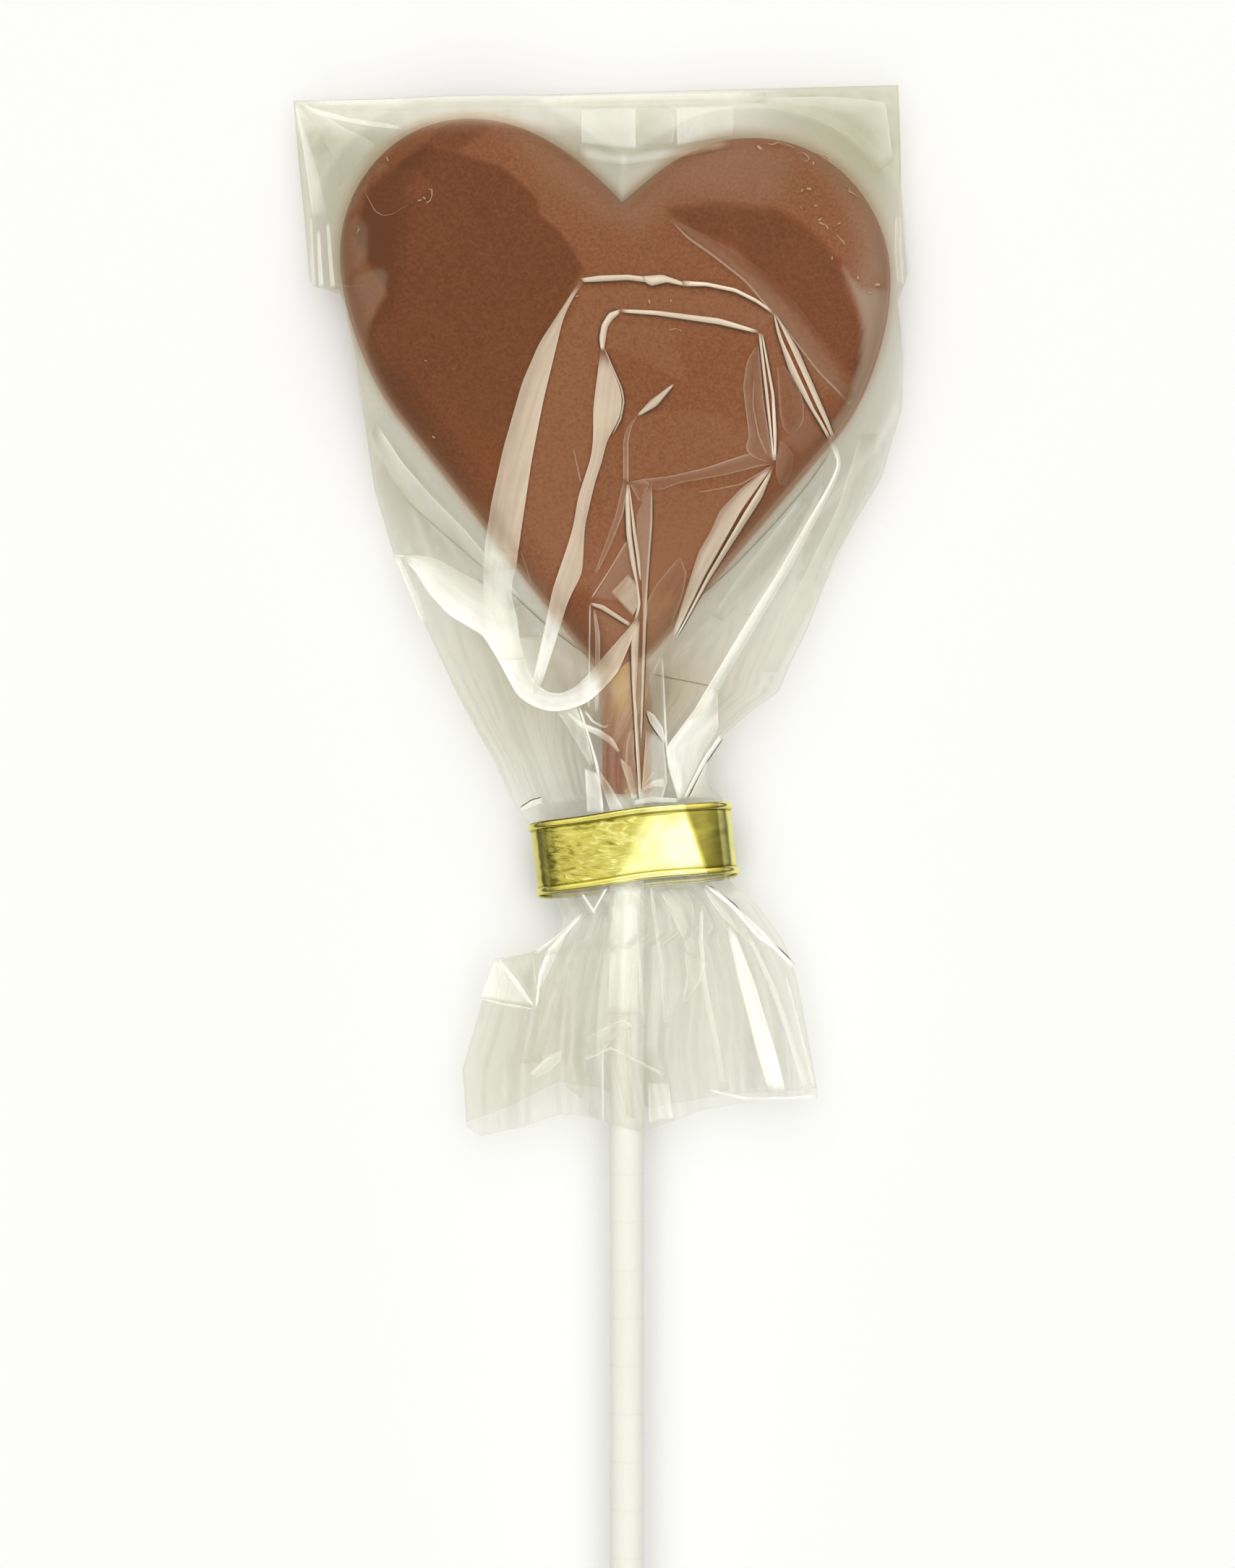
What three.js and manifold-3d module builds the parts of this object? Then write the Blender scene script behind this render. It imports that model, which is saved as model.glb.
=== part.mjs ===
// A chocolate lollipop: a cast milk-chocolate heart on a paper stick, in a clear film bag that is
// gathered round the stick and closed with a flat gold tie.
// Millimetres, +Z up. The lollipop lies on its back with the heart towards +Y, its front facing up.
// Every piece is first drawn from the heart's tip: x across from the stick's axis, y up the heart
// and z up from the surface. The whole group is then moved to the centre of its own footprint.
import * as THREE from 'three';
import { mergeVertices } from 'three/addons/utils/BufferGeometryUtils.js';
import Module from 'manifold-3d';

const wasm = await Module();
wasm.setup();

// Driving dimensions
const GAP = 0.3;
const BOOLEAN_MERGE = 1e-3;

const film = { wall: 0.35, flangeHalf: 0.5, trim: 1, columns: 32, rowsPerStation: 2 };

const stick = { radius: 2.25, length: 160, insideHeart: 38, chamfer: 0.3, sides: 28, lift: 5.3 };

const heart = {
  back: film.wall + GAP,
  thickness: 8.4,
  dome: 0.5,
  frontEdge: 3.2,
  backEdge: 0.5,
  draft: 0.5,
  centre: new THREE.Vector2(-1, 40),
  pointsPerCurve: 8,
};

// The outline's knots, seen from the front. The left lobe stands a little higher than the right.
const tip = new THREE.Vector2(-1.5, 0);
const cleft = new THREE.Vector2(-0.6, 64.8);
const leftLobe = {
  side: -1,
  leaving: new THREE.Vector2(-6.4, 6.9),
  crown: new THREE.Vector2(-20.6, 75.8),
  widest: new THREE.Vector2(-37.6, 58.3),
  flank: new THREE.Vector2(-30, 36),
};
const rightLobe = {
  side: 1,
  leaving: new THREE.Vector2(7, 6.4),
  crown: new THREE.Vector2(16.6, 73.25),
  widest: new THREE.Vector2(34.8, 54.5),
  flank: new THREE.Vector2(27, 34.3),
};

// How much further a corner of the outline moves than its sides do when the outline grows.
const tipMitre = 1.6;
const cleftMitre = 1.4;

// The film's fall from the heart's rim to the flat flange, as [distance out from the rim, height].
const frontFall = [[3.2, 4.4], [1.9, 5], [1, 5.9], [0.45, 6.9]];
const backFall = [[0.9, 0.5], [1.8, 2], [3.2, 3.3]];

// Chocolate that ran down the stick below the tip, as [height, radius] from its end upwards.
const collar = {
  offset: -0.5,
  profile: [[-13.2, 2.85], [-12.6, 3.1], [-8, 3.3], [-3, 3.6], [1, 3.6], [6, 3.3]],
  sides: 28,
};

const tie = {
  centre: new THREE.Vector2(0.95, -20.55),
  turn: THREE.MathUtils.degToRad(6.6),
  halfWidth: 13,
  halfDepth: 3.8,
  squareness: 2.8,
  height: 9.2,
  strip: 0.4,
  bead: 0.42,
  rearDrop: 0.16,
  startTurn: -0.95,
  overlap: 0.31,
  steps: 56,
};

// The bag from hem to top seam. Each station gives y on the stick's axis, how much the row climbs
// for each millimetre to the right, its left and right ends, and how deep its pleats are.
const stations = [
  { y: -55.6, climb: 0.105, left: -21.1, right: 25, pleat: 2.3 },
  { y: -48, climb: 0.1, left: -21.4, right: 24.3, pleat: 2.2 },
  { y: -41, climb: 0.1, left: -19.4, right: 23.2, pleat: 2.1 },
  { y: -35.5, climb: 0.1, left: -17, right: 21.6, pleat: 2 },
  { y: -32.6, climb: 0.11, left: -13.2, right: 20, pleat: 1.9 },
  { y: -30, climb: 0.116, left: -10.6, right: 17.6, pleat: 1.7 },
  { y: -27.2, climb: 0.116, left: -10.4, right: 12.8, pleat: 1.4 },
  { y: -20.7, climb: 0.116, left: -10.6, right: 12.4, pleat: 1.3 },
  { y: -14.3, climb: 0.116, left: -11, right: 12.6, pleat: 1.4 },
  { y: -12.4, climb: 0.11, left: -14.8, right: 13.2, pleat: 1.4 },
  { y: -8.5, climb: 0.08, left: -17.9, right: 14, pleat: 1.3 },
  { y: -3, climb: 0.05, left: -20.9, right: 17.4, pleat: 1.1 },
  { y: 3, climb: 0.02, left: -23.8, right: 21.4, pleat: 0.9 },
  { y: 10, climb: 0, left: -27, right: 24.4, pleat: 0.7 },
  { y: 18, climb: 0, left: -30.5, right: 28, pleat: 0.5 },
  { y: 26, climb: 0, left: -33.3, right: 32.2, pleat: 0.3 },
  { y: 36, climb: 0, left: -34.8, right: 35.9, pleat: 0.2 },
  { y: 45, climb: 0, left: -36.9, right: 36.4, pleat: 0.2 },
  { y: 52.9, climb: 0, left: -38.5, right: 36.8, pleat: 0.2 },
  { y: 53.3, climb: 0, left: -41.6, right: 36.8, pleat: 0.2 },
  { y: 66, climb: 0, left: -42.8, right: 36.2, pleat: 0.2 },
  { y: 79.1, climb: 0.026, left: -43.9, right: 35.7, pleat: 0.2 },
];

// The flange's mid-height beside the heart, its pleats and how far they keep from the stick.
const flange = { height: 3.9, waves: [2.6, 4.3], phases: [0.15, 0.4], clearOfStick: 5 };

const materials = {
  chocolate: new THREE.MeshStandardMaterial({ color: 0x8b5a40, roughness: 0.42, metalness: 0 }),
  paper: new THREE.MeshStandardMaterial({ color: 0xf6f5ea, roughness: 0.75, metalness: 0 }),
  gold: new THREE.MeshStandardMaterial({ color: 0xd9c43c, roughness: 0.2, metalness: 1 }),
  film: new THREE.MeshStandardMaterial({
    color: 0xe6ebe0, roughness: 0.12, metalness: 0, transparent: true, opacity: 0.35,
    side: THREE.DoubleSide,
  }),
};

// Moves each vertex of a geometry to where place() puts it.
function reshape(geometry, place) {
  const at = geometry.getAttribute('position');
  const point = new THREE.Vector3();
  for (let i = 0; i < at.count; i++) {
    place(point.fromBufferAttribute(at, i), i);
    at.setXYZ(i, point.x, point.y, point.z);
  }
  geometry.computeVertexNormals();
  return geometry;
}

// A closed geometry as a solid that can be joined and cut.
function solidOf(geometry) {
  const bare = geometry.clone();
  bare.deleteAttribute('normal');
  bare.deleteAttribute('uv');
  const merged = mergeVertices(bare, BOOLEAN_MERGE);
  return new wasm.Manifold(new wasm.Mesh({
    numProp: 3,
    vertProperties: new Float32Array(merged.getAttribute('position').array),
    triVerts: new Uint32Array(merged.index.array),
  }));
}

// A solid as a geometry with a normal for each face.
function geometryOf(solid) {
  const mesh = solid.getMesh();
  const indexed = new THREE.BufferGeometry();
  indexed.setAttribute('position', new THREE.BufferAttribute(mesh.vertProperties, 3));
  indexed.setIndex(new THREE.BufferAttribute(mesh.triVerts, 1));
  const geometry = indexed.toNonIndexed();
  geometry.computeVertexNormals();
  return geometry;
}

// A profile of [height, radius] pairs turned round an axis that runs along +Y.
function turned(profile, sides) {
  const first = profile[0][0];
  const last = profile[profile.length - 1][0];
  const points = [
    new THREE.Vector2(0, first),
    ...profile.map(([height, radius]) => new THREE.Vector2(radius, height)),
    new THREE.Vector2(0, last),
  ];
  return new THREE.LatheGeometry(points, sides);
}

// One lobe's four curves, from the cleft over the crown and down the flank to the tip, on an
// outline that stands out by grow all round.
function lobeCurves({ side, leaving, crown, widest, flank }, grow) {
  const quarter = 0.5523;
  const low = new THREE.Vector2(tip.x, tip.y - grow * tipMitre);
  const notch = new THREE.Vector2(cleft.x, cleft.y + grow * cleftMitre);
  const top = new THREE.Vector2(crown.x, crown.y + grow);
  const wide = new THREE.Vector2(widest.x + side * grow, widest.y);
  const upFlank = flank.clone().sub(tip).normalize();
  const outward = new THREE.Vector2(side * upFlank.y, -side * upFlank.x);
  const hip = flank.clone().addScaledVector(outward, grow);
  return [
    new THREE.CubicBezierCurve(
      notch,
      notch.clone().add(leaving),
      new THREE.Vector2(THREE.MathUtils.lerp(top.x, notch.x, 0.37), top.y),
      top,
    ),
    new THREE.CubicBezierCurve(
      top,
      new THREE.Vector2(THREE.MathUtils.lerp(top.x, wide.x, quarter), top.y),
      new THREE.Vector2(wide.x, THREE.MathUtils.lerp(wide.y, top.y, quarter)),
      wide,
    ),
    new THREE.CubicBezierCurve(
      wide,
      new THREE.Vector2(wide.x, THREE.MathUtils.lerp(wide.y, hip.y, 0.36)),
      hip.clone().addScaledVector(upFlank, 0.25 * wide.distanceTo(hip)),
      hip,
    ),
    new THREE.LineCurve(hip, low),
  ];
}

// The heart's outline, from the cleft round by the left lobe, the tip and the right lobe.
function outlineAt(grow) {
  const steps = heart.pointsPerCurve;
  const points = [];
  for (const curve of lobeCurves(leftLobe, grow)) {
    for (let i = 0; i < steps; i++) points.push(curve.getPoint(i / steps));
  }
  for (const curve of lobeCurves(rightLobe, grow).reverse()) {
    for (let i = 0; i < steps; i++) points.push(curve.getPoint(1 - i / steps));
  }
  return points;
}

// One ring of a swept heart: how far the outline stands out, its share of the way out from the
// heart's centre, and its height.
function ring(grow, share, z) {
  return { outline: outlineAt(grow), share, z };
}

// The rings up the rounded front edge and over the dome to the middle, from a given share of
// the edge's quarter turn.
function frontRings(grow, fromTurn) {
  const { back, thickness, frontEdge, draft, dome } = heart;
  const front = back + thickness;
  const shoulder = -draft - frontEdge;
  const steps = 4;
  const rings = [];
  for (let i = 0; i <= steps; i++) {
    const angle = THREE.MathUtils.lerp(fromTurn, 1, i / steps) * Math.PI / 2;
    const reach = frontEdge + grow;
    const out = shoulder + reach * Math.cos(angle);
    rings.push(ring(out, 1, front - frontEdge + reach * Math.sin(angle)));
  }
  for (const share of [0.6, 0.3, 0]) {
    rings.push(ring(shoulder, share, front + grow + dome * (1 - share * share)));
  }
  return rings;
}

// Rings joined into one closed shape: a turned shape whose vertices are moved onto the rings.
function sweep(rings) {
  const sides = rings[0].outline.length;
  const nominal = rings.map(({ share, z }) => new THREE.Vector2(share, z));
  return reshape(new THREE.LatheGeometry(nominal, sides), (p, index) => {
    const { outline, share, z } = rings[index % rings.length];
    const rim = outline[Math.floor(index / rings.length) % sides];
    const { centre } = heart;
    p.set(centre.x + (rim.x - centre.x) * share, centre.y + (rim.y - centre.y) * share, z);
  });
}

// The heart, standing out by grow all round.
function heartGeometry(grow) {
  const { back, thickness, backEdge, draft } = heart;
  return sweep([
    ring(0, 0, back - grow),
    ring(grow - backEdge, 1, back - grow),
    ring(grow, 1, back + backEdge),
    ring(grow - draft / 2, 1, back + 0.4 * thickness),
    ...frontRings(grow, 0),
  ]);
}

// The film over the heart's front and back and down to the flange round it.
function coverGeometry() {
  const grow = GAP + film.wall;
  return sweep([
    ring(0, 0, 0),
    ring(grow - heart.backEdge, 1, 0),
    ...backFall.map(([out, z]) => ring(out, 1, z)),
    ...frontFall.map(([out, z]) => ring(out, 1, z)),
    ...frontRings(grow, 0.33),
  ]);
}

// The collar of chocolate round the stick, standing out by grow.
function collarGeometry(grow) {
  const profile = collar.profile.map(([height, radius]) => [height, radius + grow]);
  profile[0][0] -= grow;
  return turned(profile, collar.sides).translate(collar.offset, 0, stick.lift);
}

function stickGeometry() {
  const { radius, length, insideHeart, chamfer, sides } = stick;
  const end = insideHeart - length;
  const profile = [
    [end, radius - chamfer],
    [end + chamfer, radius],
    [insideHeart - chamfer, radius],
    [insideHeart, radius - chamfer],
  ];
  return turned(profile, sides).translate(0, 0, stick.lift);
}

// The room that the stick needs, with a gap all round, from below the hem to its inner end.
function stickRoom() {
  const below = stations[0].y - 8;
  const above = stick.insideHeart + GAP;
  const profile = [[below, stick.radius + GAP], [above, stick.radius + GAP]];
  return turned(profile, stick.sides).translate(0, 0, stick.lift);
}

// The station values at a share of the way from the hem to the top seam.
function stationAt(share) {
  const place = share * (stations.length - 1);
  const low = Math.min(Math.floor(place), stations.length - 2);
  const [a, b] = [stations[low], stations[low + 1]];
  const mix = (name) => THREE.MathUtils.lerp(a[name], b[name], place - low);
  return {
    y: mix('y'), climb: mix('climb'), left: mix('left'), right: mix('right'), pleat: mix('pleat'),
  };
}

// A block laid out on the stations and standing out by margin all round, with its front and back
// at the heights that heightsAt() gives.
function bagBlock(columns, margin, heightsAt) {
  const rows = (stations.length - 1) * film.rowsPerStation;
  const block = new THREE.BoxGeometry(2, 1, 2, columns, rows, 1);
  return reshape(block, (p) => {
    const station = stationAt(p.y + 0.5);
    const across = p.x;
    const isFront = p.z > 0;
    const sideways = THREE.MathUtils.lerp(station.left, station.right, (across + 1) / 2);
    p.x = sideways + margin * across;
    p.y = station.y + station.climb * sideways + 2 * margin * p.y;
    const heights = heightsAt(p.x, p.y, across, station.pleat);
    p.z = isFront ? heights.front : heights.back;
  });
}

// The flat film's front and back: pleated where it is gathered, and raised over collar and stick.
function flangeHeights(x, y, across, pleat) {
  const { height, waves, phases, clearOfStick } = flange;
  const { lerp, smoothstep } = THREE.MathUtils;
  const wave = (i) => Math.sin(2 * Math.PI * (waves[i] * across + phases[i]));
  const awayFromStick = 1 - Math.exp(-((x / clearOfStick) ** 4));
  const fold = pleat * (0.7 * wave(0) + 0.3 * wave(1)) * awayFromStick * (1 - across ** 4);
  const middle = lerp(stick.lift, height, smoothstep(y, -4, 20)) + fold;

  const coated = smoothstep(y, -14.6, -12);
  const depth = lerp(stick.radius, collar.profile[2][1] + 0.2, coated) + GAP + film.wall + 0.1;
  const spread = (x - collar.offset * coated) / (1.2 * depth);
  const tent = depth * Math.exp(-(spread ** 2)) * (1 - smoothstep(y, 2, 12));
  return {
    front: Math.max(middle + film.flangeHalf, stick.lift + tent),
    back: Math.min(middle - film.flangeHalf, stick.lift - tent),
  };
}

// The line that the tie's strip follows: once round the neck, its end passing over its start.
class TieLoop extends THREE.Curve {
  getPoint(t, target = new THREE.Vector3()) {
    const turn = tie.startTurn + t * (2 * Math.PI + tie.overlap);
    const rounded = (value) => Math.sign(value) * Math.abs(value) ** (2 / tie.squareness);
    const stepOut = (2 * tie.bead + GAP) * THREE.MathUtils.smoothstep(t, 0.78, 0.95);
    return target.set(
      (tie.halfWidth + stepOut) * rounded(Math.cos(turn)),
      0,
      (tie.halfDepth + 1.15 * stepOut) * rounded(Math.sin(turn)),
    );
  }
}

// The strip's section: a flat band with a wire bead along each edge.
function stripSection() {
  const reach = tie.height / 2 - tie.bead;
  const join = Math.asin(tie.strip / 2 / tie.bead);
  const section = new THREE.Shape();
  section.absarc(reach, 0, tie.bead, -Math.PI + join, Math.PI - join, false);
  section.absarc(-reach, 0, tie.bead, join, 2 * Math.PI - join, false);
  section.closePath();
  return section;
}

function tieGeometry() {
  const band = new THREE.ExtrudeGeometry(stripSection(), {
    steps: tie.steps,
    curveSegments: 3,
    extrudePath: new TieLoop(),
  });
  return reshape(band, (p) => {
    p.y += tie.rearDrop * p.z;
  });
}

// The pieces
const heartSolid = solidOf(heartGeometry(0))
  .add(solidOf(collarGeometry(0)))
  .subtract(solidOf(stickRoom()));

const plan = bagBlock(1, 0, () => ({ front: heart.thickness * 2, back: -heart.thickness }));
const bagSolid = solidOf(coverGeometry())
  .add(solidOf(bagBlock(film.columns, film.trim, flangeHeights)))
  .intersect(solidOf(plan))
  .subtract(solidOf(heartGeometry(GAP)))
  .subtract(solidOf(collarGeometry(GAP)))
  .subtract(solidOf(stickRoom()));

function piece(name, geometry, material) {
  const mesh = new THREE.Mesh(geometry, material);
  mesh.name = name;
  return mesh;
}

const lollipop = new THREE.Group();
lollipop.add(piece('chocolate_heart', geometryOf(heartSolid), materials.chocolate));
lollipop.add(piece('stick', stickGeometry(), materials.paper));
lollipop.add(piece('film_bag', geometryOf(bagSolid), materials.film));

const goldTie = piece('gold_tie', tieGeometry(), materials.gold);
goldTie.position.set(tie.centre.x, tie.centre.y, stick.lift);
goldTie.rotation.z = tie.turn;
lollipop.add(goldTie);

// The origin is under the middle of the footprint, on the surface that the lollipop lies on.
const footprint = new THREE.Box3().setFromObject(lollipop);
const middle = footprint.getCenter(new THREE.Vector3());
lollipop.position.set(-middle.x, -middle.y, -footprint.min.z);

export default lollipop;
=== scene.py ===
"""A chocolate heart on a paper stick, in a clear bag tied with gold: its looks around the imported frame.

Sizes are millimetres in the drawing frame. Its origin is the heart's tip on the stick's axis, x goes
to the right, y up the heart and z up from the surface. Workbench carries each mesh to the row frame.
"""

import logging
import math
from collections.abc import Mapping, Sequence
from dataclasses import dataclass, field
from enum import Enum
from typing import Any

import bmesh
import bpy
import numpy as np
from mathutils import Matrix, Vector


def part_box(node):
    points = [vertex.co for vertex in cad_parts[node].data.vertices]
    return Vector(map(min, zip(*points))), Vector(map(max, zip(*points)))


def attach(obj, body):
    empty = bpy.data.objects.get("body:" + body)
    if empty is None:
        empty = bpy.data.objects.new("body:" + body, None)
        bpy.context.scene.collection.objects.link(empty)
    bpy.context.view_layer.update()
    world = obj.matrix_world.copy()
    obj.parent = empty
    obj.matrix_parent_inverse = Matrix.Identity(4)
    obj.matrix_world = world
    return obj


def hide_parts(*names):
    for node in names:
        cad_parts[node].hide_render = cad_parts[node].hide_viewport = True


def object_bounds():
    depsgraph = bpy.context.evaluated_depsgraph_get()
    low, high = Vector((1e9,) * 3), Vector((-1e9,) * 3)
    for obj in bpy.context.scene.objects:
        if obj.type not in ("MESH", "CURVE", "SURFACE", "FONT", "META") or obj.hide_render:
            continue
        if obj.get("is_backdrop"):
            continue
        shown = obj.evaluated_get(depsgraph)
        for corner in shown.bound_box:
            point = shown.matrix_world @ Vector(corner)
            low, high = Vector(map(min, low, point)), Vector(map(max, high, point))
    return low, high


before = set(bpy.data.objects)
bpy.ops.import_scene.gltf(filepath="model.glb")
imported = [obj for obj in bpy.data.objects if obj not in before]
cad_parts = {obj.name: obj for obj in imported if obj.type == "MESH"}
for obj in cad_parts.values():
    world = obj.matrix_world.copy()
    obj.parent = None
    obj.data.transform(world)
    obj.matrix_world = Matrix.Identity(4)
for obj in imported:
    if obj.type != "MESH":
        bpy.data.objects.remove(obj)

CAD_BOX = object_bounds()
LOG = logging.getLogger("lollipop")
MILLIMETRE = 0.001
TINY = 1e-9
SOFT_STEPS = 161
SOFT_ROUNDS = 14
Array = np.ndarray
Socket = bpy.types.NodeSocket
Point = tuple[float, float]
Colour = tuple[float, float, float]


def ease(low: float, high: float, values: Array) -> Array:
    """Rises softly from 0 at low to 1 at high."""
    share = np.clip((values - low) / (high - low), 0.0, 1.0)
    return share * share * (3.0 - 2.0 * share)


def higher(first: Array, second: Array, softness: float) -> Array:
    """The higher of two surfaces, with the crease between them rounded."""
    return 0.5 * (first + second + np.sqrt((first - second) ** 2 + softness**2))


def lower(first: Array, second: Array, softness: float) -> Array:
    """The lower of two surfaces, with the crease between them rounded."""
    return 0.5 * (first + second - np.sqrt((first - second) ** 2 + softness**2))


def along(table: Sequence[Point], values: Array) -> Array:
    """Reads a table of (place, amount) pairs at any places, straight between its rows."""
    places, amounts = zip(*table)
    return np.interp(values, places, amounts)


def soft_line(points: Sequence[Point], places: Array) -> Array:
    """A softened line through the points, read at shares of its length from 0 to 1.

    Args:
        points: the line's points.
        places: shares of its length.

    Returns:
        Places in the plan, one row each.
    """
    line = np.asarray(points, float)
    gaps = np.linalg.norm(np.diff(line, axis=0), axis=1)
    reach = np.concatenate([[0.0], np.cumsum(gaps)]) / gaps.sum()
    fine = np.linspace(0.0, 1.0, SOFT_STEPS)
    bent = np.stack([np.interp(fine, reach, line[:, i]) for i in (0, 1)], axis=1)
    for _ in range(SOFT_ROUNDS):
        bent[1:-1] = (bent[:-2] + 2.0 * bent[1:-1] + bent[2:]) / 4.0
    return np.stack([np.interp(places, fine, bent[:, i]) for i in (0, 1)], axis=1)


def beside_line(points: Sequence[Point], places: Array, reach: float) -> Array:
    """Steps of one millimetre to the left of a softened line.

    Args:
        points: the line's points.
        places: shares of its length at which the steps are wanted.
        reach: how far to either side of each place its direction is measured.

    Returns:
        The steps in the plan, one row each.
    """
    run = soft_line(points, np.clip(places + reach, 0.0, 1.0))
    run -= soft_line(points, np.clip(places - reach, 0.0, 1.0))
    run /= np.linalg.norm(run, axis=1)[:, None] + TINY
    return np.stack([-run[:, 1], run[:, 0]], axis=1)


class Crumple:
    """A fixed pattern of small ridges over the plan, as in handled film or foil."""

    def __init__(self, seed: int, size: float, waves: int = 9, squeeze: float = 1.0) -> None:
        """Draws the directions and lengths of its waves.

        Args:
            seed: the random draw, fixed so that every run is the same.
            size: the usual distance between ridges, in millimetres.
            waves: how many waves are laid over each other.
            squeeze: above 1, ridges run mostly along y.
        """
        draw = np.random.default_rng(seed)
        angle = draw.uniform(0.0, math.pi, waves)
        pace = 2.0 * math.pi / (size * draw.uniform(0.6, 1.9, waves))
        self.pace = np.stack([np.cos(angle) * pace * squeeze, np.sin(angle) * pace])
        self.start = draw.uniform(0.0, 2.0 * math.pi, waves)
        self.share = draw.uniform(0.5, 1.0, waves)

    def height(self, points: Array) -> Array:
        """Heights from about -1 to 1 at points of the plan, one row each.

        Args:
            points: places in the plan, one row each.

        Returns:
            One height for each.
        """
        bent = points + 0.9 * np.sin(points[:, ::-1] * 0.37 + 0.6)
        ridge = 1.0 - 2.0 * np.abs(np.sin(bent @ self.pace + self.start))
        return ridge @ self.share / self.share.sum()


class Region:
    """A closed outline in the plan that can say how deep inside it a point lies."""

    batch: int = 4000

    def __init__(self, corners: Sequence[Point] | Array) -> None:
        """Keeps the corners, in order, without the first one again at the end."""
        self.corners = np.asarray(corners, float)

    def depth(self, points: Array) -> Array:
        """Distances to the outline.

        Args:
            points: places in the plan, one row each.

        Returns:
            Millimetres from the outline, above 0 inside and below 0 outside.
        """
        ends = np.roll(self.corners, -1, axis=0)
        answer = np.empty(len(points))
        for first in range(0, len(points), self.batch):
            some = points[first : first + self.batch, None, :]
            edge = ends - self.corners
            reach = some - self.corners
            share = np.clip((reach * edge).sum(2) / (edge**2).sum(1), 0.0, 1.0)
            gap = np.linalg.norm(reach - share[:, :, None] * edge, axis=2).min(1)
            above = self.corners[:, 1] > some[:, :, 1]
            crossing = above != (ends[:, 1] > some[:, :, 1])
            rise = np.where(edge[:, 1] == 0.0, TINY, edge[:, 1])
            cut = self.corners[:, 0] + (some[:, :, 1] - self.corners[:, 1]) / rise * edge[:, 0]
            inside = (crossing & (some[:, :, 0] < cut)).sum(1) % 2 == 1
            answer[first : first + self.batch] = np.where(inside, gap, -gap)
        return answer


class Term:
    """A number inside a shader. Sums, differences and products of terms add their Math nodes."""

    def __init__(self, wires: "Wires", socket: Socket) -> None:
        """Wraps the socket that gives the number."""
        self.wires = wires
        self.socket = socket

    def _maths(self, operation: str, first: "Term | float", second: "Term | float") -> "Term":
        """Joins two numbers by one Math node."""
        made = self.wires.node("ShaderNodeMath", {"operation": operation}, {0: first, 1: second})
        return Term(self.wires, made.outputs[0])

    def __add__(self, other: "Term | float") -> "Term":
        """This number plus another."""
        return self._maths("ADD", self, other)

    __radd__ = __add__

    def __sub__(self, other: "Term | float") -> "Term":
        """This number less another."""
        return self._maths("SUBTRACT", self, other)

    def __rsub__(self, other: float) -> "Term":
        """Another number less this one."""
        return self._maths("SUBTRACT", other, self)

    def __mul__(self, other: "Term | float") -> "Term":
        """This number times another."""
        return self._maths("MULTIPLY", self, other)

    __rmul__ = __mul__

    def __pow__(self, other: float) -> "Term":
        """This number to a power."""
        return self._maths("POWER", self, other)

    def eased(self, low: float, high: float) -> "Term":
        """Rises softly from 0 to 1 as this number goes from low to high.

        Args:
            low: where it leaves 0.
            high: where it reaches 1.

        Returns:
            The eased number.
        """
        made = self.wires.node(
            "ShaderNodeMapRange",
            {"interpolation_type": "SMOOTHSTEP"},
            {"Value": self, "From Min": low, "From Max": high},
        )
        return Term(self.wires, made.outputs["Result"])

    def kept(self) -> "Term":
        """This number held between 0 and 1."""
        made = self.wires.node("ShaderNodeClamp", {}, {"Value": self, "Min": 0.0, "Max": 1.0})
        return Term(self.wires, made.outputs[0])


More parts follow.
